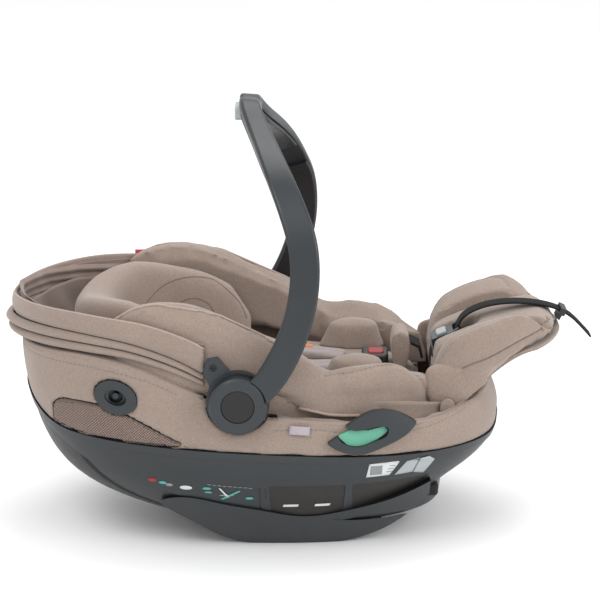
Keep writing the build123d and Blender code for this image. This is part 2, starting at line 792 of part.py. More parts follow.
with BuildPart() as buckle_housing:
    with Locations((98, 0, 210.2)):
        Box(34, 46, 19)
    fillet(buckle_housing.edges().filter_by(Axis.Z), 8)
    fillet(buckle_housing.faces().sort_by(Axis.Z)[-1].edges(), 3)
    with BuildSketch(Plane.XY.offset(206)):
        with Locations((99, 0)):
            RectangleRounded(20.4, 24.4, 4.2)
    extrude(amount=40, mode=Mode.SUBTRACT)
    for sign in (-1, 1):
        with Locations((82, sign * 16, 205)):
            Box(12, 13, 3.4, mode=Mode.SUBTRACT)
save(buckle_housing.part, "buckle_housing", BLACK)

with BuildPart() as buckle_button:
    with BuildSketch(Plane.XY.offset(210)):
        with Locations((99, 0)):
            RectangleRounded(20, 24, 4)
    extrude(amount=11.5)
    fillet(buckle_button.faces().sort_by(Axis.Z)[-1].edges(), 2)
save(buckle_button.part, "buckle_button", RED)

with BuildPart() as buckle_tongues:
    for sign in (-1, 1):
        with Locations((82, sign * 16, 205)):
            Box(11, 12, 2.6)
save(buckle_tongues.part, "buckle_tongues", STEEL)

with BuildPart() as crotch_pad:
    with BuildSketch(Plane.XZ):
        with BuildLine():
            Polyline(
                (121, 200.6), (117, 232), (120, 249), (132, 253), (142, 247), (143, 226), (139, 200.6),
                close=True,
            )
        make_face()
    extrude(amount=26, both=True)
    fillet(crotch_pad.edges().filter_by(Axis.Y), 4)
save(crotch_pad.part, "crotch_pad", FABRIC)

with BuildPart() as crotch_strap:
    with BuildSketch(Plane.XZ):
        with BuildLine():
            Polyline(
                (143.5, 237), (156, 231), (160, 215), (157, 215), (153.5, 228.5), (143.5, 233.5),
                close=True,
            )
        make_face()
    extrude(amount=19, both=True)
save(crotch_strap.part, "crotch_strap", BLACK)

# ---------------------------------------------------------------- leg rest

LEG_TOP = (
    (176, 226), (180, 244), (191, 264), (212, 278), (245, 290), (270, 293), (293, 289), (316, 278),
    (336, 264),
)
LEG_UNDER = (
    (190, 168), (199, 173), (239, 209), (266, 231), (290, 243.5), (314, 250), (336, 259),
)
LEG_VALLEY = (
    (150, 200), (182, 240), (215, 256), (260, 270), (300, 278), (350, 286),
)
LEG_TIP = 337
LEG_BOARD = 5.0
BOARD_GAP = 0.5

leg_plan = (
    (160, LEG_HALF - 6), (200, LEG_HALF), (262, LEG_HALF - 4), (304, LEG_HALF - 26), (328, 54),
    (LEG_TIP, 0),
)
with BuildPart() as leg_outline:
    with BuildSketch(Plane.XY.offset(140)):
        with BuildLine():
            rounded = Spline(*leg_plan, *((x, -y) for x, y in reversed(leg_plan[:-1])))
            Line(rounded @ 0, rounded @ 1)
        make_face()
    extrude(amount=180)

board_over = tuple((x - 0.6 * LEG_BOARD, z + 0.8 * LEG_BOARD) for x, z in LEG_UNDER[:-1])
board_tip = (LEG_TIP - 3, 262)
with BuildPart() as leg_side:
    with BuildSketch(Plane.XZ):
        with BuildLine():
            crown = Spline(*LEG_TOP)
            lining = Spline(*((x - 0.3, z + 0.4) for x, z in board_over), board_tip)
            Line(crown @ 0, (174, 200))
            Line((174, 200), (176, 178))
            Line((176, 178), lining @ 0)
            Line(crown @ 1, lining @ 1)
        make_face()
    extrude(amount=REACH, both=True)

with BuildPart() as leg_board_side:
    with BuildSketch(Plane.XZ):
        with BuildLine():
            under = Spline(*LEG_UNDER[1:])
            board_top = [(x, z - BOARD_GAP) for x, z in board_over[1:]]
            over = Spline(*board_top, (LEG_TIP - 3, 259.7))
            Line(under @ 0, over @ 0)
            Line(under @ 1, over @ 1)
        make_face()
    extrude(amount=REACH, both=True)

valley_low = tuple((x, 330) for x, z in LEG_VALLEY)
with BuildPart() as valley:
    add(curve_prism(valley_low, LEG_VALLEY))
    with Locations((250, 0, 260)):
        Box(220, 124, 200, mode=Mode.INTERSECT)

leg_hinge_hole = round_prism(LEG_X, LEG_Z, 4 + FIT, -REACH, REACH)
with BuildPart() as leg_rest_frame:
    add(leg_board_side.part)
    add(leg_outline.part, mode=Mode.INTERSECT)
    with Locations((250, 0, 220)):
        Box(190, 180, 200, mode=Mode.INTERSECT)
    for y_from, y_to in ((-100, -60), (60, 100)):
        add(round_prism(LEG_X, LEG_Z, 9, y_from, y_to))
        add(outline_prism(((186, 173), (200, 172.6), (204, 181), (192, 190)), y_from, y_to))
    add(leg_hinge_hole, mode=Mode.SUBTRACT)
save(leg_rest_frame.part, "leg_rest_frame", DARK)

with BuildPart() as leg_rest_pad:
    add(leg_side.part)
    add(leg_outline.part, mode=Mode.INTERSECT)
    add(valley.part, mode=Mode.SUBTRACT)
    with Locations((192, 0, 180)):
        Box(66, 240, 36, mode=Mode.SUBTRACT)
    add(outline_prism(((150, 300), (150, 214), (222, 224), (242, 300)), -22, 22), mode=Mode.SUBTRACT)
save(leg_rest_pad.part, "leg_rest_pad", FABRIC)

with BuildPart() as leg_rest_pin:
    add(round_prism(LEG_X, LEG_Z, 4, -124, 124))
save(leg_rest_pin.part, "leg_rest_pin", STEEL)

with BuildPart() as leg_rest_brackets:
    with BuildSketch(Plane.XZ.offset(119)):
        with Locations((LEG_X, LEG_Z)):
            Circle(9)
            Circle(4 + FIT, mode=Mode.SUBTRACT)
        with BuildLine():
            Polyline((177, 180), (178, 150), (194, 150), (195, 180), close=True)
        make_face()
        with Locations((LEG_X, LEG_Z)):
            Circle(4 + FIT, mode=Mode.SUBTRACT)
    extrude(amount=5)
    add(hull_shell_high, mode=Mode.INTERSECT)
    mirror(about=Plane.XZ)
save(leg_rest_brackets.part, "leg_rest_brackets", DARK)

# Central harness adjuster: housing, sprung press button, strap and keeper
ADJUSTER = Plane(origin=(185, 0, 243.5), x_dir=(0.93, 0, 0.37), z_dir=(-0.37, 0, 0.93))
with BuildPart() as adjuster_pocket:
    with BuildSketch(ADJUSTER.offset(-7.5)):
        Rectangle(14.6, 23.6)
    extrude(amount=25)

ADJUSTER_SIDE = ((171, 240), (173, 225), (198, 225.5), (214, 238), (206, 256), (197, 250))
with BuildPart() as adjuster_housing:
    add(outline_prism(ADJUSTER_SIDE, -19, 19, 1.5))
    add(adjuster_pocket.part, mode=Mode.SUBTRACT)
    add(outline_prism(((197, 236), (203, 233), (220, 262), (200, 262)), -13.5, 13.5), mode=Mode.SUBTRACT)
save(adjuster_housing.part, "adjuster_housing", DARK)

with BuildPart() as adjuster_button:
    with BuildSketch(ADJUSTER.offset(-3)):
        RectangleRounded(14, 23, 2.5)
    extrude(amount=8)
    fillet(adjuster_button.faces().sort_by(Axis.Z)[-1].edges(), 2)
save(adjuster_button.part, "adjuster_button", LIGHT)

# Adjuster strap: its loose end springs up over the leg rest and hangs past its tip
STRAP_WIDTH = 25
STRAP_THICK = 2.4
STRAP_ROUTE = (
    (201, 240), (204, 255), (213, 270), (234, 281), (260, 286.5), (288, 287.5), (317, 284),
    (338, 277.5), (353, 268), (366, 255), (378, 241.5),
)


def bend_radii(route):
    """The largest arc at each corner that both of its runs leave room for."""
    radii = []
    for before, corner, after in zip(route, route[1:], route[2:]):
        first = Vector(*corner) - Vector(*before)
        second = Vector(*after) - Vector(*corner)
        turn = math.radians(first.get_angle(second))
        shorter = min(first.length, second.length)
        radii.append(0.45 * shorter / math.tan(turn / 2))
    return radii


strap_radii = bend_radii(STRAP_ROUTE)
print("strap bend radii", [round(radius) for radius in strap_radii])
with BuildPart() as adjuster_strap:
    with BuildSketch(Plane.XZ):
        with BuildLine():
            FilletPolyline(*STRAP_ROUTE, radius=strap_radii)
            offset(amount=STRAP_THICK / 2)
        make_face()
    extrude(amount=STRAP_WIDTH / 2, both=True)
print("strap volume", adjuster_strap.part.volume)
save(adjuster_strap.part, "adjuster_strap", BLACK)

KEEPER = Plane(origin=(340.5, 0, 276.2), x_dir=(0.89, 0, -0.45), z_dir=(0.45, 0, 0.89))
with BuildPart() as strap_keeper:
    with BuildSketch(KEEPER.offset(-5)):
        Rectangle(8, 32)
    extrude(amount=9)
    with BuildSketch(KEEPER.offset(-2.4)):
        Rectangle(30, 26.4)
    extrude(amount=4.6, mode=Mode.SUBTRACT)
    with BuildSketch(KEEPER.offset(-13)):
        with Locations((-1, 0)):
            Rectangle(6, 24)
    extrude(amount=9)
    add(leg_side.part, mode=Mode.SUBTRACT)
save(strap_keeper.part, "strap_keeper", BLACK)
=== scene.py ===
"""Infant car seat: fabric, padding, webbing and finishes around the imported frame.

Sizes are in millimetres until a mesh is made.
"""
import math

import bmesh
import bpy
import numpy as np
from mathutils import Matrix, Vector
from mathutils.bvhtree import BVHTree


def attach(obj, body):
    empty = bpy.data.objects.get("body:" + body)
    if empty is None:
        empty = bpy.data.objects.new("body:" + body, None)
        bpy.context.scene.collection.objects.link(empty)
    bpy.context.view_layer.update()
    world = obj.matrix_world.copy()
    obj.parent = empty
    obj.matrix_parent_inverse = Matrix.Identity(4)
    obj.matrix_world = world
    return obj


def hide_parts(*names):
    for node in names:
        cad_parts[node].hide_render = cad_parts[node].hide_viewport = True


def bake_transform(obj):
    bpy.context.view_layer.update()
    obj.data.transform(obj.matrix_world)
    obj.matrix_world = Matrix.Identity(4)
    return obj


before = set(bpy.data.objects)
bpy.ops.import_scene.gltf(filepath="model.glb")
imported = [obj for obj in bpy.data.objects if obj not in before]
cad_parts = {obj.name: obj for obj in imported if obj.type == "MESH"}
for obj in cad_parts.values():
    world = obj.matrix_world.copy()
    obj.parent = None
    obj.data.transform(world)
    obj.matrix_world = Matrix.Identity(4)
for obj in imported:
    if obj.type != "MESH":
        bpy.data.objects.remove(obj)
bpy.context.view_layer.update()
MM = 0.001
scene = bpy.context.scene


def in_scene(name, data):
    obj = bpy.data.objects.new(name, data)
    scene.collection.objects.link(obj)
    return obj


# ---- camera, lights and floor

TARGET = Vector((0, 0, 288)) * MM
CAMERA_DISTANCE = 3.0
CAMERA_ELEVATION = math.radians(15)


def add_camera():
    data = bpy.data.cameras.new("camera")
    data.lens = 138.5
    data.sensor_width = 36
    camera = in_scene("camera", data)
    away = Vector((0, -math.cos(CAMERA_ELEVATION), math.sin(CAMERA_ELEVATION)))
    camera.location = TARGET + CAMERA_DISTANCE * away
    camera.rotation_euler = (math.pi / 2 - CAMERA_ELEVATION, 0, 0)
    scene.camera = camera


def add_light(name, place, size, power):
    data = bpy.data.lights.new(name, "AREA")
    data.shape = "DISK"
    data.size = size
    data.energy = power
    light = in_scene(name, data)
    light.location = place
    light.rotation_euler = (TARGET - Vector(place)).to_track_quat("-Z", "Y").to_euler()


def add_studio():
    add_light("key", (-1.0, -1.7, 2.3), 1.5, 22)
    add_light("fill", (1.9, -1.5, 1.4), 1.5, 22)
    add_light("top", (0.2, 0.6, 2.4), 1.6, 16)
    world = bpy.data.worlds.new("studio")
    world.use_nodes = True
    background = world.node_tree.nodes["Background"].inputs
    background["Color"].default_value = (1, 1, 1, 1)
    background["Strength"].default_value = 1.03
    scene.world = world
    scene.view_settings.view_transform = "Standard"
    floor_mesh = bpy.data.meshes.new("floor")
    half = 9.0
    corners = [(-half, -half, 0), (half, -half, 0), (half, half, 0), (-half, half, 0)]
    floor_mesh.from_pydata(corners, [], [(0, 1, 2, 3)])
    floor = in_scene("floor", floor_mesh)
    floor_mesh.materials.append(make_floor_material())


# ---- materials

class Nodes:
    """A new material's node tree, with short ways to add to it."""

    def __init__(self, name):
        self.material = bpy.data.materials.new(name)
        self.material.use_nodes = True
        self.tree = self.material.node_tree
        self.shader = self.tree.nodes["Principled BSDF"]
        self.place = self.tree.nodes.new("ShaderNodeTexCoord").outputs["Object"]

    def feed(self, socket, value):
        """Gives a socket a number or another node's output."""
        if isinstance(value, (int, float)):
            socket.default_value = value
        else:
            self.tree.links.new(value, socket)

    def shade(self, name, value):
        self.feed(self.shader.inputs[name], value)

    def texture(self, kind, scale, **settings):
        node = self.tree.nodes.new(kind)
        node.inputs["Scale"].default_value = scale
        for key, value in settings.items():
            if key in node.inputs:
                node.inputs[key].default_value = value
            else:
                setattr(node, key, value)
        self.feed(node.inputs["Vector"], self.place)
        return node

    def noise(self, scale, **settings):
        return self.texture("ShaderNodeTexNoise", scale, **settings).outputs["Fac"]

    def ramp(self, source, stops):
        node = self.tree.nodes.new("ShaderNodeValToRGB")
        while len(node.color_ramp.elements) < len(stops):
            node.color_ramp.elements.new(0.5)
        for element, (position, colour) in zip(node.color_ramp.elements, stops):
            element.position = position
            element.color = (*colour, 1)
        self.feed(node.inputs["Fac"], source)
        return node.outputs["Color"]

    def math(self, operation, *values):
        node = self.tree.nodes.new("ShaderNodeMath")
        node.operation = operation
        for socket, value in zip(node.inputs, values):
            self.feed(socket, value)
        return node.outputs[0]

    def multiply(self, first, second):
        node = self.tree.nodes.new("ShaderNodeMixRGB")
        node.blend_type = "MULTIPLY"
        self.feed(node.inputs["Fac"], 1.0)
        self.feed(node.inputs["Color1"], first)
        self.feed(node.inputs["Color2"], second)
        return node.outputs["Color"]

    def bump(self, height, strength, distance):
        node = self.tree.nodes.new("ShaderNodeBump")
        self.feed(node.inputs["Strength"], strength)
        self.feed(node.inputs["Distance"], distance)
        self.feed(node.inputs["Height"], height)
        self.shade("Normal", node.outputs["Normal"])


def tone(colour, factor):
    return tuple(min(1.0, c * factor) for c in colour)


def make_floor_material():
    nodes = Nodes("floor")
    haze = nodes.noise(0.6)
    nodes.shade("Base Color", nodes.ramp(haze, ((0.3, (0.93,) * 3), (0.7, (0.96,) * 3))))
    nodes.shade("Roughness", 0.9)
    return nodes.material


def make_fabric(name, colour, fleck=0.16, yarn=900, depth=0.0004):
    """Melange knit: flecks along the yarn, slow mottling, and a small bump for each stitch."""
    nodes = Nodes(name)
    flecks = nodes.noise(yarn * 0.45, Detail=4.0, Roughness=0.7)
    patches = nodes.noise(24, Detail=3.0)
    fleck_tone = nodes.ramp(
        flecks,
        ((0.28, tone(colour, 1 - fleck)), (0.5, colour), (0.72, tone(colour, 1 + fleck))),
    )
    patch_tone = nodes.ramp(patches, ((0.3, (0.93,) * 3), (0.7, (1.0,) * 3)))
    nodes.shade("Base Color", nodes.multiply(fleck_tone, patch_tone))
    stitch = nodes.texture("ShaderNodeTexVoronoi", yarn)
    fuzz = nodes.math("MULTIPLY", flecks, 0.6)
    nodes.bump(nodes.math("ADD", stitch.outputs["Distance"], fuzz), 0.5, depth)
    nodes.shade("Roughness", 0.92)
    nodes.shade("Sheen Weight", 0.25)
    nodes.shade("Sheen Roughness", 0.55)
    nodes.shade("Specular IOR Level", 0.2)
    return nodes.material


def make_plastic(name, colour, roughness):
    """Moulded plastic: fine grain, with handling marks that change its gloss and tone a little."""
    nodes = Nodes(name)
    cloud = nodes.noise(14, Detail=5.0)
    clouding = ((0.3, tone(colour, 0.92)), (0.7, tone(colour, 1.08)))
    nodes.shade("Base Color", nodes.ramp(cloud, clouding))
    smear = nodes.noise(45, Detail=6.0, Distortion=1.5)
    nodes.shade("Roughness", nodes.math("MULTIPLY_ADD", smear, 0.16, roughness - 0.08))
    pits = nodes.noise(1400, Detail=2.0)
    nodes.bump(pits, 0.35, 0.00012)
    return nodes.material


def make_webbing(name, colour):
    """Tight seat-belt weave with ribs across the band."""
    nodes = Nodes(name)
    weave = {"wave_type": "BANDS", "bands_direction": "DIAGONAL", "Distortion": 1.0}
    ribs = nodes.texture("ShaderNodeTexWave", 240, **weave)
    ribbing = ((0.2, tone(colour, 0.7)), (0.8, tone(colour, 1.4)))
    nodes.shade("Base Color", nodes.ramp(ribs.outputs["Fac"], ribbing))
    nodes.bump(ribs.outputs["Fac"], 0.5, 0.0004)
    nodes.shade("Roughness", 0.75)
    nodes.shade("Specular IOR Level", 0.2)
    return nodes.material


def make_steel(name):
    nodes = Nodes(name)
    brushed = nodes.noise(300, Detail=4.0, Distortion=2.0)
    greys = ((0.3, (0.5, 0.51, 0.53)), (0.7, (0.66, 0.67, 0.69)))
    nodes.shade("Base Color", nodes.ramp(brushed, greys))
    nodes.shade("Roughness", nodes.math("MULTIPLY_ADD", brushed, 0.2, 0.25))
    nodes.shade("Metallic", 1.0)
    return nodes.material


# fabrics: material, colour, fleck, yarn and stitch depth
FABRICS = {
    "fabric": ("taupe_knit", (0.268, 0.208, 0.173)),
    "lining": ("lining_cloth", (0.235, 0.178, 0.152), 0.08, 1500, 0.0002),
    "piping": ("pale_piping", (0.35, 0.275, 0.24), 0.1, 1400, 0.0002),
    "thread": ("sewing_thread", (0.17, 0.125, 0.105), 0.1, 2500, 0.0001),
    "pale_thread": ("pale_thread", (0.45, 0.385, 0.36), 0.1, 2500, 0.0001),
    "mesh": ("spacer_mesh", (0.3, 0.22, 0.185), 0.1, 1800, 0.0002),
    "mesh_back": ("mesh_backing", (0.11, 0.083, 0.07), 0.1, 1800),
    "pad_grey": ("grey_lining", (0.27, 0.225, 0.215), 0.1, 1500, 0.0002),
    "tag": ("care_tag", (0.36, 0.32, 0.35), 0.05, 2200, 0.0001),
    "red_tag": ("red_tag", (0.6, 0.07, 0.07), 0.1, 2000),
    "orange": ("orange_mark", (0.85, 0.2, 0.03), 0.1, 2000),
}
# plastics: material, colour and roughness
PLASTICS = {
    "shell": ("slate_plastic", (0.0155, 0.0195, 0.0225), 0.4),
    "shell_smooth": ("slate_satin", (0.0155, 0.0195, 0.0225), 0.34),
    "panel": ("umber_panel", (0.012, 0.01, 0.009), 0.55),
    "black": ("black_plastic", (0.009, 0.009, 0.01), 0.45),
    "disc": ("hub_disc", (0.004, 0.0042, 0.004), 0.6),
    "green": ("mint_plastic", (0.1, 0.335, 0.235), 0.5),
    "light": ("pale_plastic", (0.33, 0.36, 0.37), 0.4),
    "red": ("red_plastic", (0.3, 0.012, 0.016), 0.45),
    "label": ("label_white", (0.55, 0.57, 0.57), 0.45),
    "silver": ("label_silver", (0.34, 0.37, 0.38), 0.35),
    "ink": ("label_ink", (0.2, 0.22, 0.22), 0.5),
    "teal_ink": ("teal_ink", (0.07, 0.33, 0.3), 0.5),
    "rubber": ("black_rubber", (0.01, 0.01, 0.01), 0.75),
}
PAINTS = {
    "webbing": make_webbing("black_webbing", (0.006, 0.0065, 0.007)),
    "steel": make_steel("brushed_steel"),
    **{key: make_fabric(*row) for key, row in FABRICS.items()},
    **{key: make_plastic(*row) for key, row in PLASTICS.items()},
}


def both(*stems):
    """Names of the left and the right piece of each kind."""
    return tuple(f"{stem}_{side}" for stem in stems for side in ("left", "right"))


NODE_PAINT = {
    "shell": (
        "base_shell", "outer_shroud", "rim_trim", "dock_block",
        *both("rocker_rail", "belt_guide", "hub_bracket", "impact_socket"),
    ),
    "shell_smooth": ("handle_frame", "adjuster_housing", *both("hub_cover")),
    "panel": both("side_panels"),
    "black": ("keel_cover", "grip_liner", "buckle_housing", "strap_keeper", *both("handle_liner")),
    "disc": ("canopy_pins", *both("handle_release")),
    "green": ("belt_inserts",),
    "light": ("grip_button", "adjuster_button"),
    "red": ("buckle_button",),
    "lining": ("canopy_front_rib", "canopy_mid_rib", "foam_liner"),
    "steel": ("latch_bars", "handle_axles", "buckle_tongues"),
    "fabric": ("leg_rest_frame", "leg_rest_brackets", "leg_rest_pin", "headrest_plate"),
    "rubber": ("foot_bumper",),
    "webbing": ("harness_straps", "crotch_strap"),
}


def paint(obj, name):
    obj.data.materials.clear()
    obj.data.materials.append(PAINTS[name])


def paint_frame():
    for name, nodes in NODE_PAINT.items():
        for node in nodes:
            paint(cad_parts[node], name)


# ---- mesh helpers

def curve_points(points, count, closed=False):
    """Evenly spaced points on a smooth curve through the given ones."""
    data = np.array(points, float)
    if closed:
        data = np.vstack([data[-1:], data, data[:2]])
    else:
        data = np.vstack([2 * data[0] - data[1], data, 2 * data[-1] - data[-2]])
    fine = []
    for before, start, end, after in zip(data, data[1:], data[2:], data[3:]):
        for t in np.linspace(0, 1, 24, endpoint=False):
            square = (2 * before - 5 * start + 4 * end - after) * t * t
            cube = (3 * start - before - 3 * end + after) * t ** 3
            fine.append(0.5 * (2 * start + (end - before) * t + square + cube))
    fine.append(data[-2])
    fine = np.array(fine)
    travelled = np.concatenate([[0], np.cumsum(np.linalg.norm(np.diff(fine, axis=0), axis=1))])
    wanted = np.linspace(0, travelled[-1], count, endpoint=not closed)
    return np.column_stack([np.interp(wanted, travelled, fine[:, axis]) for axis in range(fine.shape[1])])


def turns(count):
    """Angles evenly round a circle."""
    return np.linspace(0, 2 * math.pi, count, endpoint=False)


def ring_outline(x, z, a, b, count=12):
    return [(x + a * math.cos(t), z + b * math.sin(t)) for t in turns(count)]


def direction(points, i):
    """Unit vector along a line of points at the i-th of them."""
    along = points[min(i + 1, len(points) - 1)] - points[max(i - 1, 0)]
    return along / max(np.linalg.norm(along), 1e-9)


def height_at(profile, x):
    """Height of an (x, z) profile curve at x."""
    fine = curve_points(sorted(profile), 160)
    return float(np.interp(x, fine[:, 0], fine[:, 1]))


def new_object(name, vertices, faces):
    """An object from millimetre vertices."""
    mesh = bpy.data.meshes.new(name)
    mesh.from_pydata([tuple(np.array(v) * MM) for v in vertices], [], faces)
    mesh.validate()
    obj = in_scene(name, mesh)
    work = bmesh.new()
    work.from_mesh(mesh)
    bmesh.ops.recalc_face_normals(work, faces=work.faces)
    work.to_mesh(mesh)
    work.free()
    mesh.shade_smooth()
    return obj


def grid_faces(rows, columns, wrap_columns=False, wrap_rows=False):
    faces = []
    for row in range(rows if wrap_rows else rows - 1):
        for column in range(columns if wrap_columns else columns - 1):
            next_row = (row + 1) % rows
            next_column = (column + 1) % columns
            faces.append(
                (row * columns + column, row * columns + next_column,
                 next_row * columns + next_column, next_row * columns + column)
            )
    return faces


def lofted(name, rings):
    """A closed skin over rings of points, with both ends filled by a fan."""
    rings = [np.array(ring, float) for ring in rings]
    columns = len(rings[0])
    vertices = [v for ring in rings for v in ring]
    faces = grid_faces(len(rings), columns, wrap_columns=True)
    for ring_index in (0, len(rings) - 1):
        vertices.append(rings[ring_index].mean(axis=0))
        centre = len(vertices) - 1
        base = ring_index * columns
        faces += [(centre, base + i, base + (i + 1) % columns) for i in range(columns)]
    return new_object(name, vertices, faces)


def evaluated(obj):
    return obj.evaluated_get(bpy.context.evaluated_depsgraph_get())


def bake(obj):
    """Applies every modifier to the mesh."""
    bpy.context.view_layer.update()
    shape = bpy.data.meshes.new_from_object(evaluated(obj))
    obj.modifiers.clear()
    obj.data = shape
    shape.shade_smooth()


def subdivide(obj):
    obj.modifiers.new("smooth", "SUBSURF").levels = 1
    bake(obj)


def thicken(obj, thickness):
    """Gives a cloth grid its thickness."""
    modifier = obj.modifiers.new("thickness", "SOLIDIFY")
    modifier.thickness = thickness * MM
    bake(obj)


def mesh_coordinates(mesh):
    data = np.empty(len(mesh.vertices) * 3)
    mesh.vertices.foreach_get("co", data)
    return data.reshape(-1, 3) / MM


def coordinates(obj):
    return mesh_coordinates(obj.data)


def normals(obj):
    data = np.empty(len(obj.data.vertices) * 3, np.float32)
    obj.data.vertex_normals.foreach_get("vector", data)
    return data.reshape(-1, 3)


def set_coordinates(obj, data):
    obj.data.vertices.foreach_set("co", (data * MM).ravel())
    obj.data.update()


def copy_nodes(name, *nodes):
    """A new object with the solids of these CAD nodes."""
    work = bmesh.new()
    for node in nodes:
        work.from_mesh(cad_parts[node].data)
    mesh = bpy.data.meshes.new(name)
    work.to_mesh(mesh)
    work.free()
    return in_scene(name, mesh)


def remesh(obj, voxel):
    modifier = obj.modifiers.new("remesh", "REMESH")
    modifier.mode = "VOXEL"
    modifier.voxel_size = voxel * MM
    bake(obj)


def relax(obj, rounds):
    modifier = obj.modifiers.new("relax", "SMOOTH")
    modifier.iterations = rounds
    modifier.factor = 0.5
    bake(obj)


def swell(obj, cap, hold=None):
    """Blows the pad up as cloth, moving no point past cap; hold gives how free each point is."""
    start = coordinates(obj)
    cloth = obj.modifiers.new("cloth", "CLOTH")
    cloth.settings.use_pressure = True
    cloth.settings.uniform_pressure_force = 4.0
    cloth.settings.effector_weights.gravity = 0
    cloth.settings.quality = 5
    cloth.settings.tension_stiffness = 25
    cloth.settings.compression_stiffness = 25
    cloth.settings.bending_stiffness = 2.0
    cloth.point_cache.frame_start = 1
    cloth.point_cache.frame_end = 20
    for step in range(1, 21):
        scene.frame_set(step)
    end = mesh_coordinates(evaluated(obj).to_mesh())
    obj.modifiers.clear()
    scene.frame_set(1)
    move = np.nan_to_num(end - start)
    length = np.linalg.norm(move, axis=1, keepdims=True)
    move *= np.minimum(1, cap / np.maximum(length, 1e-6))
    if hold is not None:
        move *= hold(start)[:, None]
    set_coordinates(obj, start + move)


def ramp_up(values, low, high):
    return np.clip((values - low) / (high - low), 0, 1)


def soft_solid(name, nodes, cap, voxel=4.5, shrink=2.0, hold=None):
    """A padded piece from CAD solids: remeshed, drawn in, blown up as cloth and subdivided once."""
    obj = copy_nodes(name, *nodes)
    remesh(obj, voxel)
    relax(obj, 6)
    set_coordinates(obj, coordinates(obj) - shrink * normals(obj))
    swell(obj, cap, hold=hold)
    subdivide(obj)
    return obj


PLANES = {"xz": (0, 2), "xy": (0, 1), "yz": (1, 2)}


def route_distance(points, route):
    """Distance in a plane from each point to a polyline."""
    best = np.full(len(points), 1e9)
    for start, end in zip(route, route[1:]):
        run = end - start
        share = np.clip(((points - start) @ run) / max(run @ run, 1e-9), 0, 1)
        best = np.minimum(best, np.linalg.norm(points - start - share[:, None] * run, axis=1))
    return best


def groove(obj, route, depth, width, plane="xz", where=None, closed=False):
    """Draws a sewn line into the surface. where(points, normals) limits it to one side."""
    data = coordinates(obj)
    facing = normals(obj)
    fine = curve_points(route, 90, closed)
    if closed:
        fine = np.vstack([fine, fine[:1]])
    away = route_distance(data[:, PLANES[plane]], fine)
    weight = np.exp(-((away / width) ** 2))
    if where is not None:
        weight = weight * where(data, facing)
    set_coordinates(obj, data - facing * (depth * weight)[:, None])


def ripple(obj, amount, size, seed=0.0):
    """Slow unevenness of real stuffing, the same on every run."""
    data = coordinates(obj)
    facing = normals(obj)
    x, y, z = (data / size + seed).T
    wave = np.sin(1.7 * x + 1.3 * np.sin(1.1 * y)) * np.sin(1.5 * z + 1.9 * np.sin(0.9 * x))
    wave = wave * np.sin(1.3 * y + 0.7)
    set_coordinates(obj, data + facing * (amount * wave)[:, None])


def surface_of(obj):
    mesh = obj.data
    return BVHTree.FromPolygons([v.co for v in mesh.vertices], [p.vertices for p in mesh.polygons])


def lay_on(obj, route, count, plane, side, lift, closed=False):
    """Points of a route dropped onto a surface along the axis that the plane leaves out.

    side is the side they come from.
    """
    tree = surface_of(obj)
    axis = ({0, 1, 2} - set(PLANES[plane])).pop()
    found = []
    for first, second in curve_points(route, count, closed):
        origin = Vector((0, 0, 0))
        origin[PLANES[plane][0]] = first * MM
        origin[PLANES[plane][1]] = second * MM
        origin[axis] = side * 0.9
        direction = Vector((0, 0, 0))
        direction[axis] = -side
        hit, facing, _, _ = tree.ray_cast(origin, direction)
        if hit is not None:
            if facing.dot(direction) > 0:
                facing = -facing
            found.append((np.array(hit) / MM + lift * np.array(facing), np.array(facing)))
    return found


def tube(name, points, radius):
    """A round bead along a line of points."""
    sides = 8
    points = [np.array(p, float) for p in points]
    rings = []
    for i, point in enumerate(points):
        along = direction(points, i)
        up = np.array((0, 0, 1.0))
        if abs(along @ up) > 0.95:
            up = np.array((0, 1.0, 0))
        across = np.cross(along, up)
        across /= np.linalg.norm(across)
        lift = np.cross(across, along)
        ring = []
        for k in range(sides):
            turn = 2 * math.pi * k / sides
            ring.append(point + radius * (math.cos(turn) * across + math.sin(turn) * lift))
        rings.append(ring)
    return lofted(name, rings)


def bead(name, obj, route, count, plane, side, radius, lift):
    laid = lay_on(obj, route, count, plane, side, lift)
    return tube(name, [p for p, _ in laid], radius)


def stitching(name, obj, route, plane, side, stitch=4.0, gap=2.0, radius=0.45, closed=False):
    """Separate sewn stitches in a row, as one piece."""
    laid = lay_on(obj, route, 400, plane, side, 0.1, closed)
    travelled = 0.0
    vertices = []
    faces = []
    run = []
    for (point, facing), (after, _) in zip(laid, laid[1:]):
        phase = travelled % (stitch + gap)
        if phase < stitch:
            run.append((point, facing))
        elif len(run) > 1:
            add_stitch(vertices, faces, run, radius)
            run = []
        travelled += float(np.linalg.norm(after - point))
    return new_object(name, vertices, faces)


def add_stitch(vertices, faces, run, radius):
    """One thread dash: a tapered six-sided bead."""
    sides = 6
    base = len(vertices)
    shares = np.linspace(0, 1, 5)
    points = np.array([p for p, _ in run])
    up = run[0][1]
    along = points[-1] - points[0]
    along = along / max(np.linalg.norm(along), 1e-9)
    across = np.cross(along, up)
    across = across / max(np.linalg.norm(across), 1e-9)
    for share in shares:
        place = points[0] + (points[-1] - points[0]) * share
        size = radius * (0.35 + 0.65 * math.sin(math.pi * min(max(share, 0.12), 0.88)))
        for k in range(sides):
            turn = 2 * math.pi * k / sides
            vertices.append(place + size * (math.cos(turn) * across + math.sin(turn) * up))
    rows = len(shares)
    faces += [tuple(base + i for i in face) for face in grid_faces(rows, sides, wrap_columns=True)]
    faces.append(tuple(base + k for k in range(sides)))
    faces.append(tuple(base + (rows - 1) * sides + k for k in reversed(range(sides))))


def dress(obj, colour, body, nodes=()):
    """Paints a finished piece, hangs it on the empty of the body it rides on, and hides the CAD solids it
    takes the place of.
    """
    paint(obj, colour)
    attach(obj, body)
    if nodes:
        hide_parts(*nodes)
    return obj


def near_side(data, facing):
    return (facing[:, 1] < -0.2).astype(float)


def far_side(data, facing):
    return (facing[:, 1] > 0.2).astype(float)


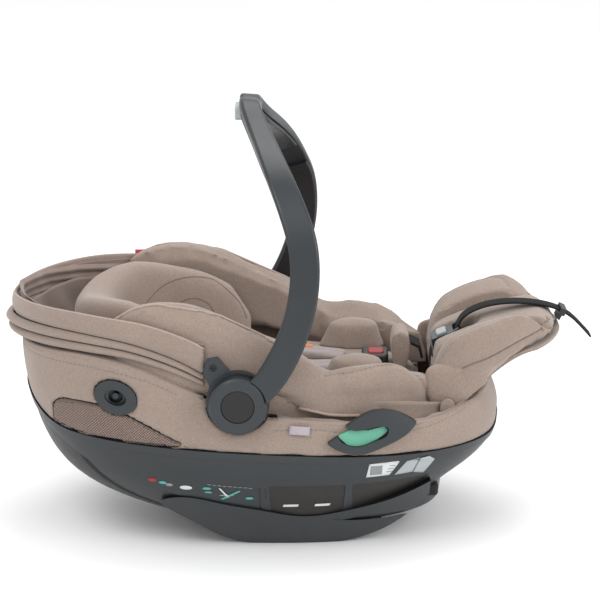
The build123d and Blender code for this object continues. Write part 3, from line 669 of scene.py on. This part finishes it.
def upward(data, facing):
    return (facing[:, 2] > 0.05).astype(float)


SIDES = (("left", -1, near_side), ("right", 1, far_side))

# ---- adjuster strap

STRAP_ROUTE = (
    (201, 240), (204, 255), (213, 270), (234, 281), (260, 286.5), (288, 287.5), (317, 284),
    (338, 277.5), (353, 268), (366, 255), (378, 241.5),
)
STRAP_WIDTH = 25
STRAP_THICK = 2.4


def add_strap():
    guide = bpy.data.curves.new("strap_line", "CURVE")
    guide.dimensions = "3D"
    guide.resolution_u = 12
    line = guide.splines.new("NURBS")
    line.points.add(len(STRAP_ROUTE) - 1)
    for point, (x, z) in zip(line.points, STRAP_ROUTE):
        point.co = (x * MM, 0, z * MM, 1)
    line.order_u = 3
    line.use_endpoint_u = True
    holder = in_scene("strap_line", guide)
    bpy.context.view_layer.update()
    sampled = bpy.data.meshes.new_from_object(evaluated(holder))
    path = [np.array(v.co) / MM for v in sampled.vertices]
    bpy.data.objects.remove(holder)
    rings = []
    half = STRAP_WIDTH / 2
    thick = STRAP_THICK / 2
    edge = half - 1.0
    outline = (
        (-half, -0.35), (-edge, -1), (-half * 0.5, -0.9), (0, -0.9), (half * 0.5, -0.9), (edge, -1),
        (half, -0.35), (half, 0.35), (edge, 1), (half * 0.5, 0.9), (0, 0.9), (-half * 0.5, 0.9),
        (-edge, 1), (-half, 0.35),
    )
    for i, point in enumerate(path):
        along = direction(path, i)
        up = np.array((-along[2], 0, along[0]))
        across = np.array((0, 1.0, 0))
        rings.append([point + across * a + up * b * thick for a, b in outline])
    strap = lofted("adjuster_webbing", rings)
    dress(strap, "webbing", "leg_rest", ["adjuster_strap"])


# ---- canopy

CANOPY_AXIS = (-106, 256)
CANOPY_TILT = math.radians(7)
HOOP_PLAN = ((-118, -193.5), (-197, -180), (-262, -158), (-318, -118), (-355, -66), (-372, 0))
BAND_TOP = ((-390, 296), (-356, 307), (-294, 311), (-240, 309), (-188, 303), (-137, 287), (-105, 270))
BAND_BOTTOM = ((-390, 272), (-356, 283), (-313, 286.5), (-258, 285), (-206, 278), (-154, 262), (-105, 238))
MID_BOTTOM = ((-390, 261), (-356, 270), (-313, 273.5), (-258, 273.5), (-206, 268), (-154, 253), (-105, 231))
BACK_BOTTOM = (
    (-390, 251), (-356, 258), (-313, 261.5), (-258, 262.5), (-206, 258.5),
    (-154, 244), (-105, 225),
)


BAND_GAP = 0.2
# across and up the band, as shares of its thickness and height
BAND_SECTION = (
    (0.1, -0.03), (0.6, 0.04), (0.95, 0.22), (1.0, 0.52), (0.95, 0.8), (0.6, 0.98), (0.1, 1.04),
    (-0.4, 1.04), (-0.85, 0.92), (-0.98, 0.6), (-0.95, 0.3), (-0.7, 0.02),
)


def hoop_stations(count):
    """Points, outward directions and shares along the canopy hoop, left pivot to right pivot."""
    plan = list(HOOP_PLAN) + [(x, -y) for x, y in reversed(HOOP_PLAN[:-1])]
    points = curve_points(plan, count)
    stations = []
    for i, (x, y) in enumerate(points):
        along = direction(points, i)
        outward = np.array((along[1], -along[0], 0.0))
        if outward[:2] @ np.array((x + 150, y)) < 0:
            outward = -outward
        stations.append((x, y, outward, i / (count - 1)))
    return stations


def hoop_band(name, top, bottom, thick, bulge, tip_bulge=0.0, stations=90):
    """A padded fabric band round the hoop: full in the middle, drawn in at its edges."""
    rings = []
    for x, y, outward, share in hoop_stations(stations):
        high = height_at(top, x) - BAND_GAP
        low = height_at(bottom, x) + BAND_GAP
        tip = math.exp(-((share - 0.5) / 0.17) ** 2)
        wave = 0.5 * math.sin(23 * share + thick) + 0.35 * math.sin(51 * share)
        ring = []
        for out, up in BAND_SECTION:
            rise = min(max(up, 0), 1)
            belly = math.sin(math.pi * rise)
            push = out * (thick / 2 + (bulge if out > 0 else 0) * belly)
            push += tip_bulge * tip * math.sin(math.pi * (0.15 + 0.7 * rise))
            push += wave * (0.6 if out > 0 else 0.2) * belly - thick / 2
            ring.append(np.array((x, y, low + (high - low) * up)) + outward * push)
        rings.append(ring)
    band = lofted(name, rings)
    subdivide(band)
    return band


def hood_cloth(name, low, high, inset):
    """The folded hood cloth inside the hoops: small pleats stacked across the turning direction."""
    pleats = 4
    rows = 33
    vertices = []
    stations = hoop_stations(110)
    for row in range(rows):
        share = row / (rows - 1)
        level = low + (high - low) * share
        pleat = 2.2 * (1 - math.cos(2 * math.pi * pleats * share))
        for x, y, outward, along in stations:
            gather = 0.8 * math.sin(64 * along + 3 * share) + 0.5 * math.sin(131 * along + 7 * share)
            ease = 0.62 + 0.38 * min(1, 7 * min(along, 1 - along))
            x_in, y_in, _ = np.array((x, y, 0)) - outward * (inset + pleat + gather) * ease
            drop = (x_in - CANOPY_AXIS[0]) * -math.sin(CANOPY_TILT)
            z = CANOPY_AXIS[1] + (level + drop) / math.cos(CANOPY_TILT)
            vertices.append((x_in, y_in, z))
    cloth = new_object(name, vertices, grid_faces(rows, len(stations)))
    thicken(cloth, 0.9)
    return cloth


def add_canopy():
    front = hoop_band("canopy_band_soft", BAND_TOP, BAND_BOTTOM, 6.5, 2.2, stations=100)
    groove(front, [(x, z - 7.0) for x, z in BAND_TOP[1:]], 0.5, 1.2, "xz")
    dress(front, "fabric", "canopy_front", ["canopy_front_cover"])
    for sleeve, top, bottom, bulge, tip_bulge, body in (
        ("mid", BAND_BOTTOM, MID_BOTTOM, 2.0, 9, "canopy_mid"),
        ("back", MID_BOTTOM, BACK_BOTTOM, 1.6, 6, "shell"),
    ):
        lowered = [(x, z - 1.2) for x, z in top]
        band = hoop_band(f"canopy_{sleeve}_soft", lowered, bottom, 6.0, bulge, tip_bulge)
        dress(band, "fabric", body, [f"canopy_{sleeve}_cover"])
    for side, sign, _ in SIDES:
        laid = []
        for x, y, outward, share in hoop_stations(160):
            if share <= 0.47:
                top = np.array((x, y * -sign, height_at(BAND_TOP, x) - 0.4))
                laid.append(top + outward * np.array((1, -sign, 1)) * -2.6)
        dress(tube(f"band_welt_{side}", laid, 1.3), "piping", "canopy_front")


def add_hood_cloth():
    for name, bodies, low, high, start, end, inset in (
        ("hood_cloth_upper", ("canopy_mid", "canopy_front"), -16, 24, -2, 16, 8.6),
        ("hood_cloth_lower", ("shell", "canopy_mid"), -34, -2, -26, -8, 9.4),
    ):
        cloth = hood_cloth(name, low, high, inset)
        paint(cloth, "lining")
        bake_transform(cloth)


LINING_TOP = ((-385, 281), (-330, 288), (-262, 288), (-190, 277), (-125, 255))


def add_hood_lining():
    """Gathered cloth that hangs from the hoops down behind the headrest."""
    vertices = []
    rows = 26
    stations = hoop_stations(150)
    for row in range(rows):
        share = row / (rows - 1)
        for x, y, outward, along in stations:
            centre = math.exp(-((along - 0.5) / 0.3) ** 2)
            reach = 19 + (12 + 10 * centre) * share ** 1.3
            folds = 2.6 * math.sin(39 * along + 2.5 * share) + 1.7 * math.sin(83 * along - 4 * share)
            folds *= math.sin(math.pi * min(1, 0.15 + share))
            bag = 7 * math.sin(math.pi * share)
            inner = np.array((x, y, 0)) - outward * (reach + 0.6 * folds)
            top = height_at(LINING_TOP, x)
            z = top - (top - 233) * share ** 0.8 - bag * 0.6 + 0.9 * folds
            vertices.append((inner[0], inner[1], z))
    cloth = new_object("hood_lining", vertices, grid_faces(rows, len(stations)))
    thicken(cloth, 1.0)
    dress(cloth, "lining", "shell")


# ---- headrest

RING_X = -168
RING_TOP = ((-310, 262), (-292, 276), (-263, 306), (-222, 313), (-168, 303), (-120, 290), (-60, 255))
RING_BASE = 211
WING_END = -66
ROLL_SEAM = (
    (-218, 240), (-206, 262), (-185, 281), (-162, 290), (-140, 292), (-117, 287), (-97, 273),
    (-81, 254), (-72, 234),
)
INNER_SEAM = ((-172, 246), (-160, 259), (-142, 264), (-124, 257), (-112, 240))


def ring_stations(count):
    """Middle line of the headrest roll, from the left wing round the head to the right wing."""
    left = [(WING_END, -113.5), (-110, -113.5), (-146, -112.5), (RING_X, -112.3)]
    round_head = [
        (RING_X - 95 * math.sin(a), -112.3 * math.cos(a)) for a in np.linspace(0.2, math.pi - 0.2, 15)
    ]
    right = [(x, -y) for x, y in reversed(left)]
    return curve_points(left + round_head + right, count)


def add_headrest():
    rings = []
    middle = ring_stations(96)
    for i, (x, y) in enumerate(middle):
        along = direction(middle, i)
        outward = np.array((-along[1], along[0]))
        if outward @ np.array((x - RING_X + 20, y)) < 0:
            outward = -outward
        share = i / (len(middle) - 1)
        head = abs(outward[0]) ** 1.5
        half = 14.5 + 14 * head
        close = min(share, 1 - share) * len(middle)
        half *= min(1.0, 0.4 + 0.1 * close)
        high = height_at(RING_TOP, x - (10 if head > 0.4 else 0))
        high -= max(0, 5 - close) * 5
        low = RING_BASE
        ring = []
        for k in range(28):
            turn = 2 * math.pi * k / 28
            side = math.copysign(abs(math.cos(turn)) ** 0.75, math.cos(turn))
            lift = math.copysign(abs(math.sin(turn)) ** 0.62, math.sin(turn))
            lean = 4.0 * lift
            outer = 4.5 * max(0, side) * max(0, lift)
            px, py = np.array((x, y)) + outward * (half * side + lean)
            ring.append((px, py, (high + low) / 2 + (high - low) / 2 * lift + outer))
        rings.append(ring)
    roll = lofted("headrest_roll", rings)
    subdivide(roll)
    ripple(roll, 0.8, 34, 0.4)
    tree = surface_of(roll)
    for kind, line in (("roll", ROLL_SEAM), ("inner", INNER_SEAM)):
        for side, sign, _ in SIDES:
            points = []
            for x, z in curve_points(line, 70):
                hit = tree.ray_cast(Vector((x * MM, 0, z * MM)), Vector((0, sign, 0)))[0]
                if hit is not None:
                    points.append(np.array(hit) / MM)
            if len(points) > 12:
                seam = tube(f"headrest_{kind}_seam_{side}", points, 0.75)
                dress(seam, "thread", "headrest")
    dress(roll, "fabric", "headrest", ["headrest_cushion"])

    bowl = soft_solid("headrest_bowl_soft", ["headrest_bowl"], voxel=4.0, shrink=1.0, cap=4,
                      hold=lambda data: ramp_up(data[:, 2], 212, 222))
    for scale, depth in ((0.86, 1.6), (0.4, 1.8)):
        circle = ring_outline(RING_X + 4, 0, 62 * scale, 92 * scale, 24)
        groove(bowl, circle, depth, 2.2, "xy", upward, closed=True)
        thread = stitching(f"bowl_stitch_{int(scale * 100)}", bowl, circle, "xy", 1, closed=True)
        dress(thread, "thread", "headrest")
    dress(bowl, "fabric", "headrest", ["headrest_bowl"])


# ---- bolsters, seat and pads

BOLSTER_SEAM = ((30, 238), (62, 240), (96, 243), (124, 240), (144, 226), (157, 206), (161, 186))
BOLSTER_CREST = ((-232, 301), (-208, 317), (-172, 325), (-104, 314), (-61, 295), (2, 264), (30, 250))
BOLSTER_HEM = ((-46, 201), (-20, 200), (10, 195), (40, 187.5), (74, 183.5))


# route, depth and width of each line drawn into a bolster
BOLSTER_GROOVES = (
    (BOLSTER_SEAM, 1.8, 2.6),
    (BOLSTER_CREST, 1.2, 2.4),
    (((-60, 214), (0, 209), (60, 208), (110, 205), (140, 196)), 3.4, 12),
    (((52, 250), (50, 228), (57, 212)), 1.2, 7),
)


def add_bolsters():
    for side, sign, facing_side in SIDES:
        node = f"side_bolster_{side}"
        pad = soft_solid(f"{node}_soft", [node], cap=7, hold=lambda data: ramp_up(data[:, 2], 186, 206))
        data = coordinates(pad)
        inward = np.clip(166 - np.abs(data[:, 1]), 0, 60)
        high = ramp_up(data[:, 2], 214, 236) * ramp_up(data[:, 0], -20, 40)
        data[:, 2] -= 0.3 * inward * high
        data[:, 2] += ramp_up(data[:, 2], 205, 236) * (9 - 3 * ramp_up(data[:, 0], -60, 40))
        data[:, 0] += 5 * ramp_up(data[:, 0], 110, 150)
        set_coordinates(pad, data)
        ripple(pad, 0.9, 30, 1.1 * sign)
        for route, depth, width in BOLSTER_GROOVES:
            groove(pad, route, depth, width, "xz", facing_side)
        dress(pad, "fabric", "shell", [node])
        thread = stitching(f"bolster_stitch_{side}", pad, BOLSTER_SEAM, "xz", sign, radius=0.4)
        dress(thread, "thread", "shell")
        for kind, route, count, radius, lift in (
            ("piping", BOLSTER_CREST, 60, 1.5, 0.4),
            ("hem", BOLSTER_HEM, 40, 1.9, 0.6),
        ):
            edge = bead(f"bolster_{kind}_{side}", pad, route, count, "xz", sign, radius, lift)
            dress(edge, "piping", "shell")


def add_seat():
    seat = soft_solid("seat_pad_soft", ["seat_pad"], cap=5, hold=lambda data: ramp_up(data[:, 2], 172, 190))
    groove(seat, ((-250, 0), (-60, 0), (60, 0)), 2.0, 5, "xy", upward)
    for y in (-70, 70):
        groove(seat, ((-250, y), (-60, y * 1.1), (40, y * 0.9)), 2.0, 3, "xy", upward)
    dress(seat, "fabric", "shell", ["seat_pad"])

    hips = soft_solid("hip_pads_soft", ["hip_pads"], voxel=3.5, shrink=1.0, cap=6,
                      hold=lambda data: ramp_up(data[:, 2], 203, 212))
    data = coordinates(hips)
    off_centre = np.hypot((data[:, 0] - 78) / 40, (np.abs(data[:, 1]) - 84) / 25)
    data[:, 2] -= 16 * np.clip(off_centre, 0, 1.2) ** 2 * ramp_up(data[:, 2], 205, 236)
    data[:, 2] += 3 * ramp_up(data[:, 2], 205, 236)
    data[:, 0] -= 18 * (1 - ramp_up(data[:, 0], 40, 95))
    data[:, 1] += np.sign(data[:, 1]) * 12 * ramp_up(np.abs(data[:, 1]), 84, 110)
    set_coordinates(hips, data)
    relax(hips, 8)
    ripple(hips, 0.6, 18, 2.0)
    dress(hips, "fabric", "shell", ["hip_pads"])

    shoulders = soft_solid("shoulder_pads_soft", ["shoulder_pads"], voxel=2.5, shrink=0.6, cap=2.0)
    for sign in (-1, 1):
        line = [(-46, sign * 47), (6, sign * 36), (58, sign * 25)]
        groove(shoulders, line, 1.0, 2.0, "xy", upward)
    dress(shoulders, "pad_grey", "shell", ["shoulder_pads"])
    mark = bead("orange_mark", shoulders, ((3, 45), (17, 42)), 8, "xy", 1, 2.0, 0.2)
    dress(mark, "orange", "shell")

    crotch = soft_solid("crotch_pad_soft", ["crotch_pad"], voxel=3.0, shrink=0.8, cap=5)
    groove(crotch, ((124, 206), (123, 228), (127, 246)), 1.0, 2.0, "xz")
    dress(crotch, "fabric", "shell", ["crotch_pad"])


# ---- side cover and mesh

COVER_SEAM = ((-352, 246), (-325, 246), (-260, 246), (-195, 236), (-150, 219))
COVER_SEAM_FOOT = ((-30, 176), (20, 176), (60, 170), (140, 168), (190, 176), (232, 190))
MESH_TOP = ((-312, 178), (-307, 191), (-265, 199), (-224, 192), (-185, 175), (-128, 151))
MESH_BOTTOM = ((-312, 163.5), (-266, 157), (-200, 154.6), (-128, 150.5))


def add_side_cover():
    cover = copy_nodes("side_cover_soft", "side_cover")
    remesh(cover, 2.6)
    relax(cover, 4)
    ripple(cover, 0.7, 38, 0.3)
    for _, _, facing_side in SIDES:
        for route, depth in ((COVER_SEAM, 1.0), (COVER_SEAM_FOOT, 1.0), (MESH_TOP, 0.8)):
            groove(cover, route, depth, 1.8, "xz", facing_side)
    dress(cover, "fabric", "shell", ["side_cover"])
    for side, sign, _ in SIDES:
        for kind, route in (("cover_stitch", COVER_SEAM), ("cover_foot_stitch", COVER_SEAM_FOOT)):
            thread = stitching(f"{kind}_{side}", cover, route, "xz", sign, radius=0.4)
            dress(thread, "thread", "shell")


COVER_TOP = (
    (-400, 250), (-330, 254), (-260, 257), (-195, 247), (-137, 224), (-76, 201), (-30, 190), (30, 183),
    (150, 174), (200, 183), (244, 196), (290, 208),
)
COVER_TOP_LINE = curve_points(COVER_TOP, 400)
# height of each level, and there half the hull's width, its head end and its foot end
RIM_HALF = ((185, 201, -352, 249), (225, 198, -359, 240), (262, 195, -359, 232))
OVAL_POWER = 2.45
HULL_MIDDLE = -51.5
HULL_HALF_LENGTH = 300
HULL_HALF_WIDTH = 201
HUB = (-76, 212)
HUB_GAP_RADIUS = 42.5
HUB_INNER_FACE = 188


def rim_point(turn, z, inset):
    """Point on the hull at an angle round it, drawn in by inset."""
    levels = [row[0] for row in RIM_HALF]
    half, head, foot = (np.interp(z, levels, [row[i] for row in RIM_HALF]) for i in (1, 2, 3))
    middle = (head + foot) / 2
    reach = (foot - head) / 2 - inset
    x = math.copysign(abs(math.cos(turn)) ** (2 / OVAL_POWER), math.cos(turn))
    y = math.copysign(abs(math.sin(turn)) ** (2 / OVAL_POWER), math.sin(turn))
    return np.array((middle + reach * x, (half - inset) * y))


# in from the rim and up from it, across the gusset
GUSSET_SECTION = ((1, 0.5), (5, 2.2), (9, 2.6), (13, 1.0), (17, -2), (21, -6))


def add_cover_rim():
    """Rolled edge of the side cover, and the cloth gusset from it in to the padding."""
    count = 260
    roll_rings = []
    gusset = []
    for turn in turns(count):
        rough = rim_point(turn, 200, 3)
        z = float(np.interp(rough[0], COVER_TOP_LINE[:, 0], COVER_TOP_LINE[:, 1]))
        centre = rim_point(turn, z, 3.2)
        inner = rim_point(turn, z, 30)
        inward = (inner - centre) / np.linalg.norm(inner - centre)
        foot = float(ramp_up(np.array(centre[0]), 175, 225))
        z -= 2.2 * foot
        roll_rings.append([
            (*(centre - inward * 3.4 * math.cos(a)), z - 1.2 + 3.4 * math.sin(a))
            for a in turns(10)
        ])
        wave = 0.8 * math.sin(31 * turn) + 0.5 * math.sin(57 * turn + 1)
        for step, (reach, rise) in enumerate(GUSSET_SECTION):
            place = centre + inward * (reach * (1 - 0.55 * foot) + 0.3 * wave)
            gusset.append((*place, z + rise * (1 - 0.6 * foot) + wave * (step > 1)))
    roll = new_object(
        "cover_rolled_edge", [v for ring in roll_rings for v in ring],
        grid_faces(count, 10, wrap_columns=True, wrap_rows=True),
    )
    cut_hub_gap(roll)
    dress(roll, "fabric", "shell")
    cloth = new_object("cover_gusset", gusset, grid_faces(count, len(GUSSET_SECTION), wrap_rows=True))
    cut_hub_gap(cloth)
    thicken(cloth, 1.0)
    dress(cloth, "lining", "shell")


WALL_TOP = ((-130, 226), (-50, 221), (-10, 208), (60, 200), (110, 198), (150, 192), (186, 185))
WALL_FOOT = 166


def add_inner_walls():
    """Cloth walls inside the rim, from under the bolsters down to the seat."""
    for side, sign, _ in SIDES:
        vertices = []
        places = np.linspace(-118, 184, 60)
        for row in range(6):
            for x in places:
                reach = abs((x - HULL_MIDDLE) / HULL_HALF_LENGTH) ** OVAL_POWER
                y = HULL_HALF_WIDTH * (1 - reach) ** (1 / OVAL_POWER) - 21
                y = y - 9 * float(ramp_up(np.array(x), -40, 20)) - 3 * math.sin(math.pi * row / 5)
                z = WALL_FOOT + (height_at(WALL_TOP, x) - WALL_FOOT) * row / 5
                vertices.append((x, sign * y, z))
        wall = new_object(f"inner_wall_{side}", vertices, grid_faces(6, len(places)))
        thicken(wall, 1.0)
        dress(wall, "fabric", "shell")


def cut_hub_gap(obj):
    """Removes what would run through the handle hubs' pockets."""
    work = bmesh.new()
    work.from_mesh(obj.data)
    inside = [
        v for v in work.verts
        if math.hypot(v.co.x / MM - HUB[0], v.co.z / MM - HUB[1]) < HUB_GAP_RADIUS
        and abs(v.co.y / MM) > HUB_INNER_FACE
    ]
    bmesh.ops.delete(work, geom=inside, context="VERTS")
    holes = [e for e in work.edges if e.is_boundary]
    if obj.name == "cover_rolled_edge":
        bmesh.ops.holes_fill(work, edges=holes, sides=40)
    work.to_mesh(obj.data)
    work.free()


MESH_PITCH = 3.5


def add_mesh_panels():
    """Spacer mesh: a net of round-edged strands over a dark backing, on the panel's own curved face."""
    for side, sign, _ in SIDES:
        node = f"mesh_panel_{side}"
        backing = copy_nodes(f"mesh_backing_{side}", node)
        remesh(backing, 2.5)
        relax(backing, 3)
        set_coordinates(backing, coordinates(backing) - 0.3 * normals(backing))
        dress(backing, "mesh_back", "shell", [node])
        tree = surface_of(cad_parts[node])
        vertices = []
        index = {}
        faces = []
        columns = int(190 / MESH_PITCH)
        rows = int(50 / MESH_PITCH)
        for row in range(2 * rows):
            for column in range(columns):
                x = -314 + (column + 0.5 * (row % 2)) * MESH_PITCH
                z = 150 + row * MESH_PITCH / 2
                if not height_at(MESH_BOTTOM, x) < z < height_at(MESH_TOP, x):
                    continue
                hit, _, _, _ = tree.ray_cast(Vector((x * MM, sign * 0.5, z * MM)), Vector((0, -sign, 0)))
                if hit is not None and abs(hit[1]) > 0.1:
                    index[row, column] = len(vertices)
                    vertices.append(np.array(hit) / MM)
        for row, column in index:
            odd = row % 2
            left = column - 1 + odd
            corners = [(row, column), (row + 1, column + odd), (row + 2, column), (row + 1, left)]
            if all(corner in index for corner in corners):
                faces.append([index[corner] for corner in corners])
        net = new_object(f"mesh_net_{side}", vertices, faces)
        modifier = net.modifiers.new("strands", "WIREFRAME")
        modifier.thickness = 1.25 * MM
        modifier.use_even_offset = False
        bake(net)
        dress(net, "mesh", "shell")


# ---- leg rest

LEG_SIDE_SEAM = ((173, 193), (184, 211), (207, 230), (239, 243), (267, 256), (289, 265), (322, 276))
LEG_POCKET = ((172, -98), (190, -103), (220, -105), (250, -103), (268, -94), (276, -76))


def add_leg_rest():
    pad = soft_solid("leg_rest_soft", ["leg_rest_pad"], voxel=4.0, shrink=1.4, cap=5)
    data = coordinates(pad)
    inward = np.clip((106 - np.abs(data[:, 1])) / 44, 0, 1)
    crown = ramp_up(normals(pad)[:, 2], 0.0, 0.5) * ramp_up(data[:, 0], 160, 200)
    data[:, 2] -= 13 * inward * crown * (np.abs(data[:, 1]) > 56)
    data[:, 2] += 9 * (1 - inward) * ramp_up(data[:, 0], 245, 285) * ramp_up(data[:, 2], 262, 280)
    near_seat = 1 - ramp_up(data[:, 0], 165, 205)
    data[:, 0] -= 7 * near_seat
    data[:, 1] *= 1 - 0.035 * near_seat
    set_coordinates(pad, data)
    relax(pad, 4)
    for side, sign, facing_side in SIDES:
        groove(pad, LEG_SIDE_SEAM, 2.6, 2.8, "xz", facing_side)
        line = [(x, -sign * y) for x, y in LEG_POCKET]
        groove(pad, line, 1.6, 3.0, "xy", upward)
        thread = stitching(f"pocket_stitch_{side}", pad, line, "xy", 1, 3.0, 1.8, radius=0.55)
        dress(thread, "pale_thread", "leg_rest")
        seam = bead(f"leg_seam_{side}", pad, LEG_SIDE_SEAM, 60, "xz", sign, 1.0, -0.2)
        dress(seam, "thread", "leg_rest")
    dress(pad, "fabric", "leg_rest", ["leg_rest_pad"])
    for side, sign, _ in SIDES:
        add_leg_cheek(side, sign)
    for side, sign, _ in SIDES:
        rows = []
        for z, x in ((219, 173), (212, 172), (205, 172), (197, 172), (189, 173), (180, 175)):
            rows += [(x - 1.2 * math.sin(y / 14), sign * y, z) for y in np.linspace(22, 88, 14)]
        skirt = new_object(f"leg_rest_skirt_{side}", rows, grid_faces(6, 14))
        thicken(skirt, 1.2)
        dress(skirt, "fabric", "leg_rest")


CHEEK = (
    (160, 226), (160, 198), (167, 180), (186, 172), (203, 179), (220, 195), (238, 214), (214, 230),
    (184, 234),
)
# distance from the middle, and the outline's share of its size there
CHEEK_LAYERS = (
    (102.5, 0.6), (101.8, 0.9), (103.5, 0.99), (107, 1.0), (110.5, 0.97), (112.2, 0.86), (112.8, 0.6),
)


def add_leg_cheek(side, sign):
    """Padded flap that carries the leg rest's cover down past its hinge."""
    outline = curve_points(CHEEK, 48, closed=True)
    centre = outline.mean(axis=0)
    rings = []
    for y, share in CHEEK_LAYERS:
        ring = centre + (outline - centre) * share
        rings.append([(x, sign * y, z) for x, z in ring])
    flap = lofted(f"leg_cheek_{side}", rings)
    subdivide(flap)
    dress(flap, "fabric", "leg_rest")


# ---- labels and tags

SKIN_NODES = ("outer_shroud", "rim_trim", "side_panels_left", "rocker_rail_left")
SKINS = [surface_of(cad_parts[node]) for node in SKIN_NODES]


def skin_point(x, z):
    """Nearest outside point of the left of the shell, and its facing, at a side-view place."""
    best = None
    for tree in SKINS:
        hit, facing, _, _ = tree.ray_cast(Vector((x * MM, -0.5, z * MM)), Vector((0, 1, 0)))
        if hit is not None and hit[1] < 0 and (best is None or hit[1] < best[0][1]):
            best = (np.array(hit), np.array(facing))
    if best is None:
        return None
    if best[1][1] > 0:
        best = (best[0], -best[1])
    return best[0] / MM, best[1]


def label(name, corners, colour, lift=0.35, thick=0.4, steps=6):
    """A thin label with straight sides on the near skin, filled by rings from its middle out."""
    outline = []
    corners = [np.array(corner, float) for corner in corners]
    for start, end in zip(corners, corners[1:] + corners[:1]):
        outline += [start + (end - start) * t / steps for t in range(steps)]
    centre = np.mean(outline, axis=0)
    vertices = []
    shares = (1.0, 0.75, 0.5, 0.25)
    for share in shares:
        for point in outline:
            x, z = centre + (point - centre) * share
            place, facing = skin_point(x, z)
            vertices.append(place + facing * lift)
    faces = grid_faces(len(shares), len(outline), wrap_columns=True)
    place, facing = skin_point(*centre)
    vertices.append(place + facing * lift)
    last = (len(shares) - 1) * len(outline)
    faces += [(len(vertices) - 1, last + i, last + (i + 1) % len(outline)) for i in range(len(outline))]
    obj = new_object(name, vertices, faces)
    modifier = obj.modifiers.new("thickness", "SOLIDIFY")
    modifier.thickness = thick * MM
    modifier.offset = 0
    bake(obj)
    return dress(obj, colour, "shell")


def bar(x, z, length, height, lean=0.0):
    """Corners of a small leaning bar."""
    return [(x, z), (x + length, z), (x + length + lean, z + height), (x + lean, z + height)]


def add_labels():
    label("info_label", [(82, 109), (111, 110), (124, 129), (121, 130.5), (86, 128.5)], "label")
    for row in range(3):
        line = bar(107 + 2 * row, 115 + 4.2 * row, 7, 1.2, 0.8)
        label(f"info_line_{row}", line, "ink", 0.6, 0.2, 2)
    label("info_block", bar(86.5, 112.5, 15, 13, 1.0), "ink", 0.6, 0.2, 3)
    label("silver_label", [(117.5, 109), (141, 110.5), (150, 131), (133, 128.5)], "silver")
    fold = [(141, 110.5), (154, 106.5), (168, 125.5), (161.5, 132), (150, 131)]
    label("silver_fold", fold, "silver", 1.1)
    for i, x in enumerate((-23.8, 15.8)):
        label(f"panel_mark_{i}", bar(x + 2, 64.5, 19, 3.6, 1.5), "label", 0.4, 0.3, 3)
    marks = (
        (-184, 103, 5.5, 2.6, "red"), (-171, 100, 5, 2.2, "teal_ink"), (-163, 97.5, 4.5, 2.4, "ink"),
        (-142, 94.5, 8, 3.2, "label"), (-116, 94.5, 5.5, 2.0, "teal_ink"), (-114, 88.5, 5, 1.3, "teal_ink"),
        (-92, 84, 9, 1.3, "ink"), (-63, 79.5, 5, 2.0, "teal_ink"),
    )
    for i, (x, z, a, b, colour) in enumerate(marks):
        label(f"guide_mark_{i}", ring_outline(x, z, a, b), colour, 0.4, 0.25, 1)
    cross = [(-99, 78.5), (-96.5, 77), (-74, 91), (-76, 92.5)]
    label("guide_mark_cross", cross, "teal_ink", 0.6, 0.25, 3)
    sail = [(-101, 95.5), (-99, 95.5), (-88, 81), (-91, 81)]
    label("guide_mark_sail", sail, "label", 0.6, 0.25, 3)
    for i in range(9):
        line = bar(-115 + 6.4 * i, 100.4 - 0.55 * i, 4.6, 0.9)
        label(f"guide_line_{i}", line, "ink", 0.4, 0.2, 2)
    for i, (x, z, width, height) in enumerate(((-51, 62, 2.4, 34), (-43.5, 79, 1.6, 15))):
        slit = bar(x, z, width, height, -0.5)
        label(f"panel_slot_{i}", slit, "black", 0.2, 0.3, 4)


def tag(name, corners, colour):
    """A folded sewn-in tag: a small curved sheet through four corners."""
    low_start, low_end, high_end, high_start = (np.array(c, float) for c in corners)
    rows = 7
    columns = 9
    across = np.cross(low_end - low_start, high_start - low_start)
    across /= np.linalg.norm(across)
    vertices = []
    for row in range(rows):
        v = row / (rows - 1)
        for column in range(columns):
            u = column / (columns - 1)
            low = (1 - u) * low_start + u * low_end
            high = (1 - u) * high_start + u * high_end
            flat = (1 - v) * low + v * high
            vertices.append(flat + across * (0.8 * math.sin(3.1 * u) + 0.6 * v * math.sin(5 * u)))
    obj = new_object(name, vertices, grid_faces(rows, columns))
    thicken(obj, 0.7)
    dress(obj, colour, "shell")


def add_tags():
    care = ((-13.5, -205, 172), (11.5, -205, 170.5), (12.5, -203.5, 181), (-12.5, -203.5, 183))
    tag("care_tag", care, "tag")
    red = ((-226, 172, 302), (-211, 176, 301), (-210.5, 176, 313), (-225.5, 172, 314))
    tag("plain_red_tag", red, "red_tag")


# ---- build

add_camera()
add_studio()
paint_frame()
add_strap()
add_canopy()
add_hood_cloth()
add_hood_lining()
add_headrest()
add_bolsters()
add_seat()
add_side_cover()
add_cover_rim()
add_inner_walls()
add_mesh_panels()
add_leg_rest()
add_labels()
add_tags()
